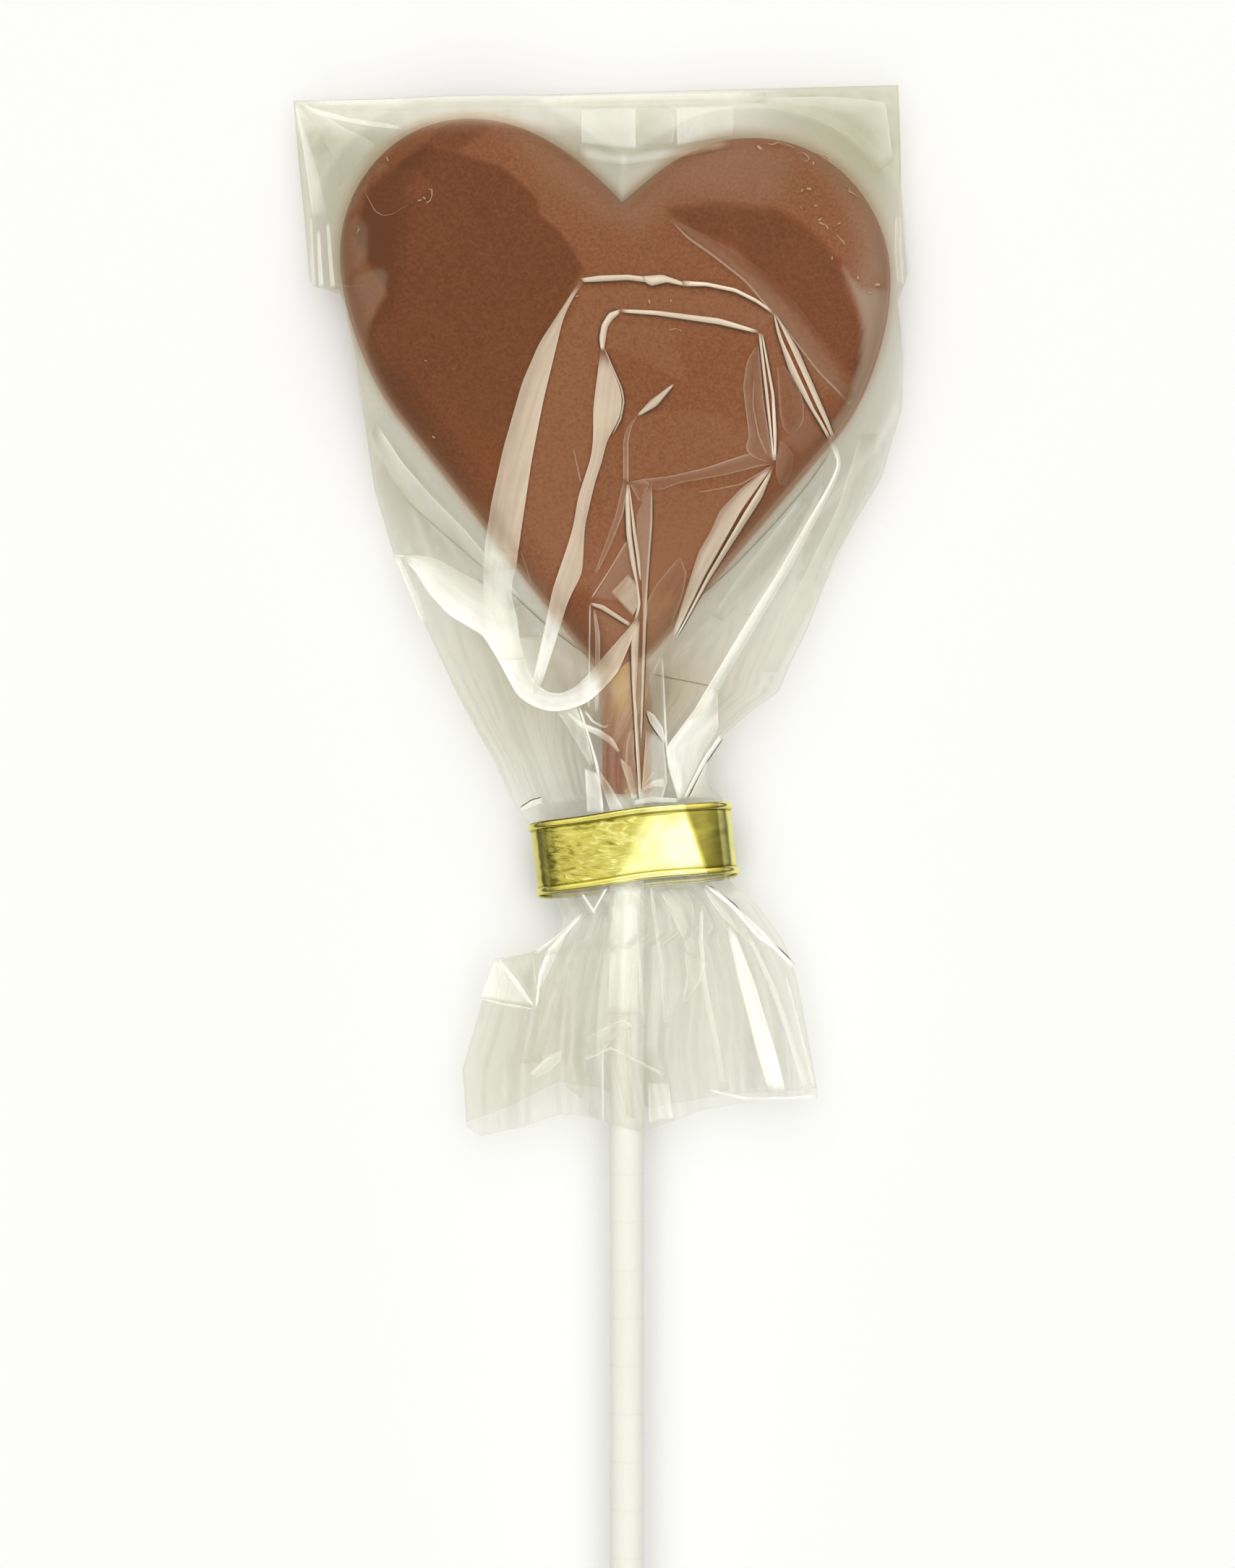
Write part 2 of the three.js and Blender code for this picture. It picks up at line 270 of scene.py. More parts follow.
class Wires:
    """The node tree of one finish, or of the sky."""

    def __init__(self, owner: bpy.types.Material | bpy.types.World) -> None:
        """Starts an empty tree.

        Args:
            owner: the material or world that is to be wired.
        """
        owner.use_nodes = True
        self.owner = owner
        self.tree = owner.node_tree
        self.tree.nodes.clear()

    @classmethod
    def finish(cls, name: str) -> "Wires":
        """Starts a new material of that name."""
        return cls(bpy.data.materials.new(name))

    def node(
        self,
        kind: str,
        settings: Mapping[str, Any] | None = None,
        inputs: Mapping[str | int, Any] | None = None,
    ) -> bpy.types.Node:
        """Adds any node.

        Args:
            kind: the node's type.
            settings: its own settings.
            inputs: values, sockets or terms for its sockets, by name or number.

        Returns:
            The node.
        """
        made = self.tree.nodes.new(kind)
        for key, value in (settings or {}).items():
            setattr(made, key, value)
        for key, value in (inputs or {}).items():
            source = value.socket if isinstance(value, Term) else value
            if isinstance(source, Socket):
                self.tree.links.new(source, made.inputs[key])
            else:
                made.inputs[key].default_value = source
        return made

    def place(self, stretch: Colour = (1.0, 1.0, 1.0)) -> Socket:
        """The place on the piece in millimetres of the drawing frame, stretched if asked.

        Args:
            stretch: factors along x, y and z.

        Returns:
            The socket that gives the place.
        """
        origin = Workbench.origin
        where = self.node("ShaderNodeTexCoord").outputs["Object"]
        scale = Vector(stretch) / MILLIMETRE
        shift = Vector([-o * s for o, s in zip(origin, scale)])
        made = self.node("ShaderNodeMapping", {}, {"Vector": where, "Location": shift, "Scale": scale})
        return made.outputs[0]

    def grain(self, where: Socket, size: float, detail: float = 3.0, warp: float = 0.0) -> Term:
        """A cloudy pattern whose patches are about size millimetres across.

        Args:
            where: the place that it is read at.
            size: the patches' size in millimetres.
            detail: how many finer layers it has.
            warp: how strongly its edges wander.

        Returns:
            The pattern, mostly between 0.3 and 0.7.
        """
        made = self.node(
            "ShaderNodeTexNoise",
            {},
            {"Vector": where, "Scale": 1.0 / size, "Detail": detail, "Distortion": warp},
        )
        return Term(self, made.outputs[0])

    def painted(self, name: str) -> Term:
        """A number that the mesh carries at each vertex.

        Args:
            name: the name that it is painted under.

        Returns:
            The number.
        """
        made = self.node(
            "ShaderNodeAttribute", {"attribute_type": "GEOMETRY", "attribute_name": name}
        )
        return Term(self, made.outputs["Fac"])

    def parts(self, where: Socket) -> tuple[Term, Term, Term]:
        """The x, y and z of a place."""
        made = self.node("ShaderNodeSeparateXYZ", {}, {0: where})
        return tuple(Term(self, out) for out in made.outputs)

    def mixed(self, share: Term, first: Colour | Socket, second: Colour | Socket) -> Socket:
        """One colour turning into another as share goes from 0 to 1.

        Args:
            share: how much of the second colour shows.
            first: a colour or a socket that gives one.
            second: likewise.

        Returns:
            The socket that gives the mixed colour.
        """
        first, second = ((*c, 1.0) if isinstance(c, tuple) else c for c in (first, second))
        made = self.node("ShaderNodeMix", {"data_type": "RGBA"}, {0: share, 6: first, 7: second})
        return made.outputs[2]

    def relief(self, height: Term, depth: float, strength: float = 1.0) -> Socket:
        """Bumps that are depth millimetres high where height is 1.

        Args:
            height: the pattern that is raised.
            depth: its height in millimetres.
            strength: how much of the bump shows, from 0 to 1.

        Returns:
            The socket that gives the bent normal.
        """
        made = self.node(
            "ShaderNodeBump",
            {},
            {"Height": height, "Distance": depth * MILLIMETRE, "Strength": strength},
        )
        return made.outputs[0]

    def shader(self, kind: str, **inputs: Any) -> Socket:
        """A shader node, with its sockets named with _ for each space.

        Args:
            kind: the node's type.
            inputs: its sockets' values or links.

        Returns:
            The node's first output.
        """
        named = {}
        for key, value in inputs.items():
            named[key.replace("_", " ")] = (*value, 1.0) if isinstance(value, tuple) else value
        return self.node(kind, {}, named).outputs[0]

    def done(self, shader: Socket) -> bpy.types.Material:
        """Joins the shader to the output and gives the material."""
        self.node("ShaderNodeOutputMaterial", {}, {0: shader})
        return self.owner


PRINCIPLED = "ShaderNodeBsdfPrincipled"


class Workbench:
    """Makes finished pieces out of meshes drawn in millimetres."""

    origin: Vector = Vector((0.0, 0.0, 0.0))

    @classmethod
    def set_origin(cls, inside_heart: float) -> None:
        """Finds the drawing frame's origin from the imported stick.

        Args:
            inside_heart: how far the stick's top end is above the heart's tip, in millimetres.
        """
        low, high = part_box("stick")
        cls.origin = Vector(((low.x + high.x) / 2.0, high.y - inside_heart * MILLIMETRE, 0.0))

    @staticmethod
    def start(*painted: str) -> bmesh.types.BMesh:
        """An empty mesh that will carry these numbers at its vertices.

        Args:
            painted: the numbers' names.

        Returns:
            The mesh.
        """
        mesh = bmesh.new()
        for name in painted:
            mesh.verts.layers.float.new(name)
        return mesh

    @staticmethod
    def sheet(mesh: bmesh.types.BMesh, columns: int, rows: int) -> tuple[list, Array]:
        """Adds a grid to a mesh.

        Args:
            mesh: what the grid is added to.
            columns: faces across.
            rows: faces along.

        Returns:
            The grid's vertices, and for each its share across and along, from 0 to 1.
        """
        made = bmesh.ops.create_grid(mesh, x_segments=columns, y_segments=rows, size=0.5)
        shares = np.array([(v.co.x + 0.5, v.co.y + 0.5) for v in made["verts"]])
        return made["verts"], shares

    @staticmethod
    def put(vertices: Sequence[bmesh.types.BMVert], *axes: Array) -> None:
        """Moves vertices to the places given by their x, y and z."""
        for vertex, place in zip(vertices, np.stack(axes, axis=1).tolist()):
            vertex.co = place

    @staticmethod
    def paint(mesh: bmesh.types.BMesh, name: str, vertices: Sequence, values: Array) -> None:
        """Writes one number per vertex under a name that a finish can read.

        Args:
            mesh: what carries the numbers.
            name: their name.
            vertices: where they go.
            values: one number for each vertex.
        """
        layer = mesh.verts.layers.float[name]
        for vertex, value in zip(vertices, values.tolist()):
            vertex[layer] = value

    @classmethod
    def paint_all(cls, mesh: bmesh.types.BMesh, vertices: Sequence, **values: Any) -> None:
        """Writes several numbers per vertex, each an array or one number for all.

        Args:
            mesh: what carries the numbers.
            vertices: where they go.
            values: the numbers, by name.
        """
        for name, value in values.items():
            spread = np.broadcast_to(np.asarray(value, float), (len(vertices),))
            cls.paint(mesh, name, vertices, spread)

    @classmethod
    def settle(
        cls,
        name: str,
        mesh: bmesh.types.BMesh,
        finishes: Sequence[bpy.types.Material],
        slot: str,
        replaces: str,
        wall: float = 0.0,
    ) -> bpy.types.Object:
        """Turns a mesh into a piece in the row frame.

        Args:
            name: the piece's name.
            mesh: the mesh in millimetres, which is used up.
            finishes: its materials, in the order of the faces' numbers.
            slot: the record's slot for its finish; not used.
            replaces: the node that it stands for.
            wall: thickness given to an open sheet, in millimetres.

        Returns:
            The piece.
        """
        carry = Matrix.Translation(cls.origin) @ Matrix.Scale(MILLIMETRE, 4)
        bmesh.ops.transform(mesh, matrix=carry, verts=mesh.verts)
        for face in mesh.faces:
            face.smooth = True
        data = bpy.data.meshes.new(name)
        mesh.to_mesh(data)
        mesh.free()
        piece = bpy.data.objects.new(name, data)
        bpy.context.scene.collection.objects.link(piece)
        for finish in finishes:
            data.materials.append(finish)
        if wall:
            thicken = piece.modifiers.new("wall", "SOLIDIFY")
            thicken.thickness = wall * MILLIMETRE
            thicken.offset = 0.0
        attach(piece, "root")
        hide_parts(replaces)
        LOG.info("%s: %d faces", name, len(data.polygons))
        return piece


@dataclass(frozen=True)
class Lobe:
    """One half of the heart's outline, on side -1 for the left or 1 for the right.

    It leaves the cleft along leaving, rounds its crown, falls from its widest place to its flank, and
    runs straight from there to the tip.
    """

    side: int
    leaving: Point
    crown: Point
    widest: Point
    flank: Point


@dataclass(frozen=True)
class HeartForm:
    """The moulded heart: its outline and the height of its front."""

    tip: Point = (-1.3, -0.35)
    cleft: Point = (-0.6, 64.8)
    left: Lobe = Lobe(-1, (-6.4, 6.9), (-20.6, 75.8), (-37.85, 58.0), (-30.0, 36.0))
    right: Lobe = Lobe(1, (7.0, 6.4), (16.6, 73.25), (34.8, 54.5), (27.9, 34.0))
    centre: Point = (-1.0, 40.0)
    back: float = 0.65
    shoulder: float = 5.85
    edge: float = 3.2
    draft: float = 0.5
    dome: float = 0.5
    steps: int = 56
    tip_stretch: float = 1.6
    cleft_stretch: float = 1.4
    cleft_round: float = 0.37
    flank_round: float = 0.36
    hip_round: float = 0.25
    dome_reach: float = 9.0

    @staticmethod
    def cubic(points: Sequence[Array], steps: int) -> Array:
        """Points on a cubic curve, without its end.

        Args:
            points: its four control points.
            steps: how many places are wanted.

        Returns:
            Places in the plan, one row each.
        """
        t = np.linspace(0.0, 1.0, steps, endpoint=False)[:, None]
        a, b, c, d = points
        u = 1.0 - t
        return u**3 * a + 3 * u**2 * t * b + 3 * u * t**2 * c + t**3 * d

    def half(self, lobe: Lobe, grow: float) -> Array:
        """One lobe from the cleft to the tip.

        Args:
            lobe: which half.
            grow: how far outside the drawn outline, in millimetres.

        Returns:
            Places in the plan, one row each, with the tip last.
        """
        quarter = 0.5523
        low = np.array((self.tip[0], self.tip[1] - grow * self.tip_stretch))
        notch = np.array((self.cleft[0], self.cleft[1] + grow * self.cleft_stretch))
        top = np.array((lobe.crown[0], lobe.crown[1] + grow))
        wide = np.array((lobe.widest[0] + lobe.side * grow, lobe.widest[1]))
        up = np.array(lobe.flank) - np.array(self.tip)
        up /= np.linalg.norm(up)
        hip = np.array(lobe.flank) + np.array((lobe.side * up[1], -lobe.side * up[0])) * grow

        def part(start: float, end: float, share: float) -> float:
            """The number that lies that share of the way from start to end."""
            return start + (end - start) * share

        crest = np.array((part(top[0], notch[0], self.cleft_round), top[1]))
        first = (notch, notch + np.array(lobe.leaving), crest, top)
        turn = np.array((part(top[0], wide[0], quarter), top[1]))
        drop = np.array((wide[0], part(wide[1], top[1], quarter)))
        fall = np.array((wide[0], part(wide[1], hip[1], self.flank_round)))
        lead = hip + up * self.hip_round * np.linalg.norm(wide - hip)
        line = np.linspace(0.0, 1.0, self.steps + 1)[:, None]
        return np.concatenate(
            [
                self.cubic(first, self.steps),
                self.cubic((top, turn, drop, wide), self.steps),
                self.cubic((wide, fall, lead, hip), self.steps // 2),
                hip + (low - hip) * line,
            ]
        )

    def outline(self, grow: float = 0.0) -> Array:
        """The closed outline, clockwise from the cleft."""
        right, left = self.half(self.right, grow), self.half(self.left, grow)
        return np.concatenate([right[:-1], left[:0:-1]])

    def front(self, depth: Array) -> Array:
        """Heights of the chocolate's front at depths inside the drawn outline.

        Args:
            depth: millimetres inside the outline.

        Returns:
            Millimetres above the surface.
        """
        inset = np.clip(depth - self.draft, 0.0, None)
        reach = np.clip(self.edge - inset, 0.0, self.edge)
        arc = np.sqrt(self.edge**2 - reach**2)
        return self.shoulder + arc + self.dome * (1.0 - np.exp(-inset / self.dome_reach))


@dataclass(frozen=True)
class BagForm:
    """The clear bag: its plan and the heights of its two sheets.

    left and right are its edges as (height on the stick's axis, x) pairs, and climb is how steeply a
    line across the bag rises there. The hems are (x, height) pairs. The falls are (depth inside the
    heart's outline, height above the surface) pairs, and pleats says how high its pleats stand.
    """

    heart: HeartForm = field(default_factory=HeartForm)
    stick_centre: float = 5.3
    left: Sequence[Point] = (
        (-58, -20.6), (-54.78, -21.08), (-47.21, -21.55), (-42.42, -20.13), (-37.8, -18.8),
        (-33.16, -17.28), (-32.89, -13.58), (-32.0, -10.16), (-28.95, -8.26), (-27.04, -9.11),
        (-25.54, -9.78), (-23.09, -10.44), (-18.35, -10.44), (-16.31, -11.58), (-15.8, -12.72),
        (-12.04, -15.19), (-7.53, -17.37), (-4.93, -18.99), (-1.39, -21.08), (1.65, -22.78),
        (9.26, -26.58), (13.48, -28.58), (17.66, -30.47), (25.73, -32.85), (26.49, -33.13),
        (36.17, -34.56), (44.34, -35.89), (51.46, -37.22), (53.16, -37.97), (53.35, -41.49),
        (54.97, -41.77), (62.56, -42.44), (70.55, -43.2), (79.18, -43.86),
    )  # fmt: skip
    right: Sequence[Point] = (
        (-58, 25.3), (-55.59, 25.16), (-51.97, 24.59), (-47.28, 23.73), (-43.51, 23.07),
        (-40.22, 22.41), (-37.38, 21.55), (-34.58, 20.51), (-32.57, 19.08), (-30.7, 17.75),
        (-29.27, 16.61), (-28.3, 15.66), (-26.45, 13.58), (-23.43, 12.4), (-19.58, 12.3),
        (-15.99, 12.5), (-15.14, 12.63), (-12.82, 10.25), (-11.13, 10.63), (-9.82, 11.01),
        (-6.94, 12.06), (-3.11, 16.42), (-0.56, 19.94), (3.29, 21.36), (7.93, 23.54),
        (13.58, 25.73), (17.85, 27.34), (22.78, 30.09), (26.01, 32.09), (28.39, 33.51),
        (33.42, 34.94), (37.31, 36.17), (40.73, 36.27), (44.34, 36.36), (48.32, 36.08),
        (52.03, 35.79), (53.54, 36.36), (55.25, 37.03), (59.05, 36.65), (62.56, 36.36),
        (66.16, 36.08), (71.65, 35.98), (79.1, 35.7),
    )  # fmt: skip
    climb: Sequence[Point] = (
        (-58, 0.105), (-48, 0.1), (-35.5, 0.1), (-32.6, 0.11), (-30, 0.116), (-14.3, 0.116),
        (-12.4, 0.11), (-8.5, 0.08), (-3, 0.05), (3, 0.02), (10, 0), (66, 0), (79.1, 0.026),
    )  # fmt: skip
    front_hem: Sequence[Point] = (
        (-21.08, -54.78), (-19.18, -56.2), (-13.29, -55.39), (-8.83, -54.34), (-5.98, -54.82),
        (-2.37, -55.86), (1.71, -57.6), (3.32, -57.3), (10.92, -55.63), (19.56, -55.0), (25.16, -55.4),
    )  # fmt: skip
    back_hem: Sequence[Point] = (
        (-21.08, -54.2), (-15, -52.6), (-9, -50.2), (-4, -51.6), (3, -55), (12, -54.2), (25.16, -54.6),
    )  # fmt: skip
    top: float = 79.1
    front_fall: Sequence[Point] = (
        (-6, 3.9), (-4.2, 4.4), (-2.7, 5.1), (-1.4, 6.1), (-0.5, 6.9), (0.3, 7.5), (0.9, 7.97),
    )  # fmt: skip
    back_fall: Sequence[Point] = ((-5, 3.6), (-3.2, 3.2), (-1.8, 2.0), (-0.9, 0.6), (0, 0.3))
    pleats: Sequence[Point] = (
        (-58, 1.5), (-46, 1.3), (-35, 1.0), (-29, 0.6), (-25.5, 0.3), (-16, 0.3), (-12, 0.7),
        (-5, 0.8), (5, 0.5), (15, 0.35), (30, 0.2), (79, 0.12),
    )  # fmt: skip
    tie_left: float = -11.3
    tie_right: float = 13.2
    tie_height: float = -20.6
    tie_pitch: float = 0.19
    tie_room: float = 3.05
    tie_squareness: float = 2.8
    neck_room: float = 3.95
    skirt_room: float = 2.62
    skirt_puff: float = 1.3
    heart_drop: float = 1.4
    hem_drop: float = 1.1
    hem_height: float = -55.6
    sheet_gap: float = 0.12
    film_lift: float = 0.22
    floor_gap: float = 0.12

    def axis_height(self, points: Array) -> Array:
        """Where the cross line through each point meets the stick's axis.

        Args:
            points: places in the plan, one row each.

        Returns:
            Millimetres above the heart's tip, along the stick.
        """
        height = points[:, 1].copy()
        for _ in range(6):
            height = points[:, 1] - along(self.climb, height) * points[:, 0]
        return height

    def share_across(self, points: Array, height: Array) -> Array:
        """0 on the bag's left edge and 1 on its right."""
        left, right = along(self.left, height), along(self.right, height)
        return (points[:, 0] - left) / (right - left)

    @staticmethod
    def pleat(across: Array, count: float, start: float) -> Array:
        """Sharp folds that run along the bag, from -1 to 1."""
        return np.abs(((across * count + start) % 1.0) - 0.5) * 4.0 - 1.0

    def gathers(self, points: Array, front: bool) -> Array:
        """How far the pleats lift one sheet, in millimetres.

        Args:
            points: places in the plan, one row each.
            front: whether it is the front sheet.

        Returns:
            One lift for each place.
        """
        height = self.axis_height(points)
        across = self.share_across(points, height)
        shift = 0.0 if front else 0.37
        drift = across + 0.012 * np.sin(height * 0.21 + across * 9.0)
        folds = (
            0.5 * self.pleat(drift, 5.0, 0.12 + shift)
            + 0.32 * self.pleat(drift, 9.0, 0.55 + 2 * shift)
            + 0.18 * self.pleat(drift, 17.0, 0.31 + shift)
        )
        hold = 1.0 - np.abs(2.0 * across - 1.0) ** 6
        return folds * hold * along(self.pleats, height)

    def middle(self, height: Array) -> Array:
        """The height at which the two sheets meet.

        Args:
            height: places along the stick's axis.

        Returns:
            Millimetres above the surface.
        """
        drop = ease(-4.0, 20.0, height)
        hem = ease(-36.0, -56.0, height)
        tie = self.tie_pitch * (height - self.tie_height) * self.held(height)
        return self.stick_centre - self.heart_drop * drop - self.hem_drop * hem + tie

    @staticmethod
    def held(height: Array) -> Array:
        """1 where the tie holds the film, 0 away from it."""
        return ease(-28.5, -25.5, height) * ease(-12.8, -16.2, height)

    def tied(self, points: Array) -> Array:
        """Half the thickness that the tie leaves for the film.

        Args:
            points: places in the plan, one row each.

        Returns:
            Millimetres, one for each place.
        """
        centre = (self.tie_left + self.tie_right) / 2.0
        reach = (self.tie_right - self.tie_left) / 2.0
        share = np.clip(np.abs(points[:, 0] - centre) / reach, 0.0, 1.0)
        return self.tie_room * (1.0 - share**self.tie_squareness) ** (1.0 / self.tie_squareness)

    def swell(self, points: Array, height: Array) -> Array:
        """Half the distance between the two sheets below the heart.

        Args:
            points: places in the plan, one row each.
            height: where they lie along the axis.

        Returns:
            Millimetres, one for each place.
        """
        x = np.abs(points[:, 0])
        across = self.share_across(points, height)
        side = np.clip(1.0 - np.abs(2.0 * across - 1.0) ** 2.4, 0.0, 1.0)
        neck = self.neck_room * np.exp(-((x / 4.2) ** 2.6))
        skirt = self.skirt_room * np.exp(-((x / 3.6) ** 2.4)) + self.skirt_puff * side
        share = ease(-27.0, -35.0, height)
        loose = higher(neck, 0.9 * side, 0.4) * (1.0 - share) + skirt * share
        held = self.held(height)
        calm = 1.0 - ease(1.5, 13.0, height)
        return loose * (1.0 - held) * calm + self.tied(points) * held

    def front(self, points: Array, depth: Array | None = None) -> Array:
        """Heights of the front sheet.

        Args:
            points: places in the plan, one row each.
            depth: how deep inside the heart's outline they are, if that is known.

        Returns:
            Heights above the surface, in millimetres.
        """
        if depth is None:
            depth = Region(self.heart.outline()).depth(points)
        height = self.axis_height(points)
        flange = self.middle(height) + self.sheet_gap + self.swell(points, height)
        flange += self.gathers(points, True) * (1.0 - ease(-1.5, 0.5, depth))
        reach = np.linspace(-6.0, 0.9, 70)
        fall = along(self.front_fall, reach)
        for _ in range(6):
            fall[1:-1] = (fall[:-2] + 2.0 * fall[1:-1] + fall[2:]) / 4.0
        outside = np.interp(depth, reach, fall)
        lift = self.film_lift + 0.05 * Crumple(11, 15.0).height(points)
        inside = self.heart.front(depth) + lift
        cover = outside + (inside - outside) * ease(0.4, 1.6, depth)
        share = ease(-5.5, -2.5, depth)
        return flange + (higher(cover, flange, 0.5) - flange) * share

    def back(self, points: Array, depth: Array) -> Array:
        """Heights of the back sheet, as front gives them for the front one.

        Args:
            points: places in the plan, one row each.
            depth: how deep inside the heart's outline they are.

        Returns:
            Millimetres above the surface.
        """
        height = self.axis_height(points)
        flange = self.middle(height) - self.sheet_gap - self.swell(points, height)
        flange += self.gathers(points, False) * (1.0 - ease(-3.0, 0.0, depth)) * 0.8
        cover = along(self.back_fall, depth)
        share = ease(-5.5, -2.5, depth)
        return np.clip(flange + (lower(cover, flange, 0.4) - flange) * share, self.floor_gap, None)

    def plan(self, across: Array, up: Array, hem: Sequence[Point]) -> Array:
        """Places of the sheet's points in the plan.

        Args:
            across: 0 on the left edge, 1 on the right.
            up: 0 at the hem, 1 at the top.
            hem: where the sheet ends, as (x, height on the axis) pairs.

        Returns:
            Places in the plan, one row each.
        """
        low = self.hem_height
        height = low + up * (self.top - low)
        for _ in range(3):
            left, right = along(self.left, height), along(self.right, height)
            x = left + across * (right - left)
            height = low + up * (self.top - low)
            height += (along(hem, x) - low) * (1.0 - ease(low, -44.0, height))
        return np.stack([x, height + along(self.climb, height) * x], axis=1)


@dataclass(frozen=True)
class MilkChocolate:
    """Moulded milk chocolate, satin and finely grained, with the film's reflections and shade painted in.
    """

    dark: Colour = (0.152, 0.053, 0.022)
    middle: Colour = (0.268, 0.092, 0.040)
    pale: Colour = (0.345, 0.150, 0.082)
    dusty: Colour = (0.420, 0.300, 0.225)
    worn: Colour = (0.72, 0.50, 0.15)
    lit: Colour = (0.66, 0.40, 0.22)

    def material(self, name: str, neck: bool = False) -> bpy.types.Material:
        """Makes the finish.

        Args:
            name: the material's name.
            neck: whether it is for the neck, which has worn yellowish patches.

        Returns:
            The material.
        """
        wires = Wires.finish(name)
        where = wires.place()
        cloud = wires.grain(where, 16.0, 2.0)
        fine = wires.grain(where, 0.4, 4.0)
        specks = wires.grain(where, 1.7, 5.0, 0.6)
        # Painted light: tone carries the film's reflections and shade, painted in.
        tone = wires.painted("tone") + (cloud - 0.5) * 0.24 + (fine - 0.5) * 0.95
        base = wires.mixed(tone.eased(-0.2, 0.6), self.dark, self.middle)
        base = wires.mixed(tone.eased(0.5, 1.05), base, self.pale)
        # A painted sheen for the film's greyish reflections, then painted light from the lit colour.
        base = wires.mixed(wires.painted("dust").kept(), base, self.dusty)
        base = wires.mixed((wires.painted("glow") * 0.8).kept(), base, self.lit)
        if neck:
            base = self.patched(wires, where, base, fine)
        base = wires.mixed((specks.eased(0.66, 0.74) * 0.25), base, self.pale)
        skin = wires.relief(fine * 0.06 + cloud, 0.03, 0.5)
        shine = wires.shader(
            PRINCIPLED,
            Base_Color=base,
            Roughness=0.44 + cloud * 0.16,
            Normal=skin,
            Specular_IOR_Level=0.1,
        )
        return wires.done(shine)

    def patched(self, wires: Wires, where: Socket, base: Socket, fine: Term) -> Socket:
        """Adds the neck's yellowish patches to its colour.

        Args:
            wires: the finish's node tree.
            where: the place on the piece.
            base: its colour so far.
            fine: the fine grain.

        Returns:
            The socket that gives the colour.
        """
        x, y, _ = wires.parts(where)
        ragged = (wires.grain(where, 1.6, 3.0) - 0.5) * 1.2
        side = (x + 0.8 + ragged * 0.5) * 0.8
        band = (1.0 - (side * side).eased(0.15, 1.5)) * (y + ragged).eased(-4.0, -0.2)
        high = 1.0 - (y + ragged).eased(4.4, 6.2)
        low = (1.0 - ((x - 0.3) * (x - 0.3) + (y + 13.1) * (y + 13.1)).eased(0.2, 0.6)) * 0.8
        wear = (band * high * (0.95 + (fine - 0.5) * 0.6) + low).kept()
        return wires.mixed(wear, base, self.worn)


@dataclass(frozen=True)
class RolledPaper:
    """White paper rolled tight, with the faint spiral of its lap."""

    pale: Colour = (0.93, 0.92, 0.84)
    shaded: Colour = (0.80, 0.78, 0.68)

    def material(self) -> bpy.types.Material:
        """Makes the finish.

        Returns:
            The material.
        """
        wires = Wires.finish("rolled_paper")
        fibre = wires.grain(wires.place((1.0, 0.25, 1.0)), 0.5, 5.0)
        cloud = wires.grain(wires.place((1.0, 0.12, 1.0)), 3.0, 2.0)
        lap = wires.node(
            "ShaderNodeTexWave",
            {"wave_type": "BANDS", "bands_direction": "Y", "wave_profile": "SAW"},
            {"Vector": wires.place((1.0, 0.05, 1.2)), "Scale": 1.0, "Distortion": 0.3},
        )
        seam = Term(wires, lap.outputs["Fac"]).eased(0.93, 1.0)
        colour = wires.mixed((cloud * 0.5 + fibre * 0.3 + seam * 0.2).kept(), self.pale, self.shaded)
        paper = wires.shader(
            PRINCIPLED,
            Base_Color=colour,
            Roughness=0.62 + fibre * 0.2,
            Normal=wires.relief(fibre + seam * 0.7, 0.03, 0.6),
            Specular_IOR_Level=0.35,
        )
        return wires.done(paper)


@dataclass(frozen=True)
class GoldFoil:
    """Lemon-gold foil over card, creased on one side, with painted reflections: olive at its ends, near
    white at its painted highlight.
    """

    olive: Colour = (0.20, 0.165, 0.025)
    gold: Colour = (0.56, 0.49, 0.10)
    lemon: Colour = (0.88, 0.83, 0.30)
    pale: Colour = (0.97, 0.94, 0.60)

    def material(self) -> bpy.types.Material:
        """Makes the finish.

        Returns:
            The material.
        """
        wires = Wires.finish("gold_foil")
        crease = wires.grain(wires.place((0.42, 1.25, 1.0)), 1.1, 3.0, 1.6)
        broad = wires.grain(wires.place((0.6, 1.0, 1.0)), 3.0, 3.0, 0.8)
        rough = wires.painted("crinkle")
        # Painted reflection: the painted shade and the crease grain choose the foil's colour from olive to
        # near white.
        shade = wires.painted("shade") + (crease - 0.5) * rough * 1.3 + (broad - 0.5) * 0.4
        colour = wires.mixed(shade.eased(0.0, 0.36), self.olive, self.gold)
        colour = wires.mixed(shade.eased(0.36, 0.72), colour, self.lemon)
        colour = wires.mixed(shade.eased(0.74, 1.0), colour, self.pale)
        foil = wires.shader(
            PRINCIPLED,
            Base_Color=colour,
            Metallic=1.0,
            Roughness=0.2 + broad * 0.1 + crease * rough * 0.1,
            Normal=wires.relief(crease * (0.15 + rough) + broad * 0.5, 0.08, 0.4),
        )
        return wires.done(foil)


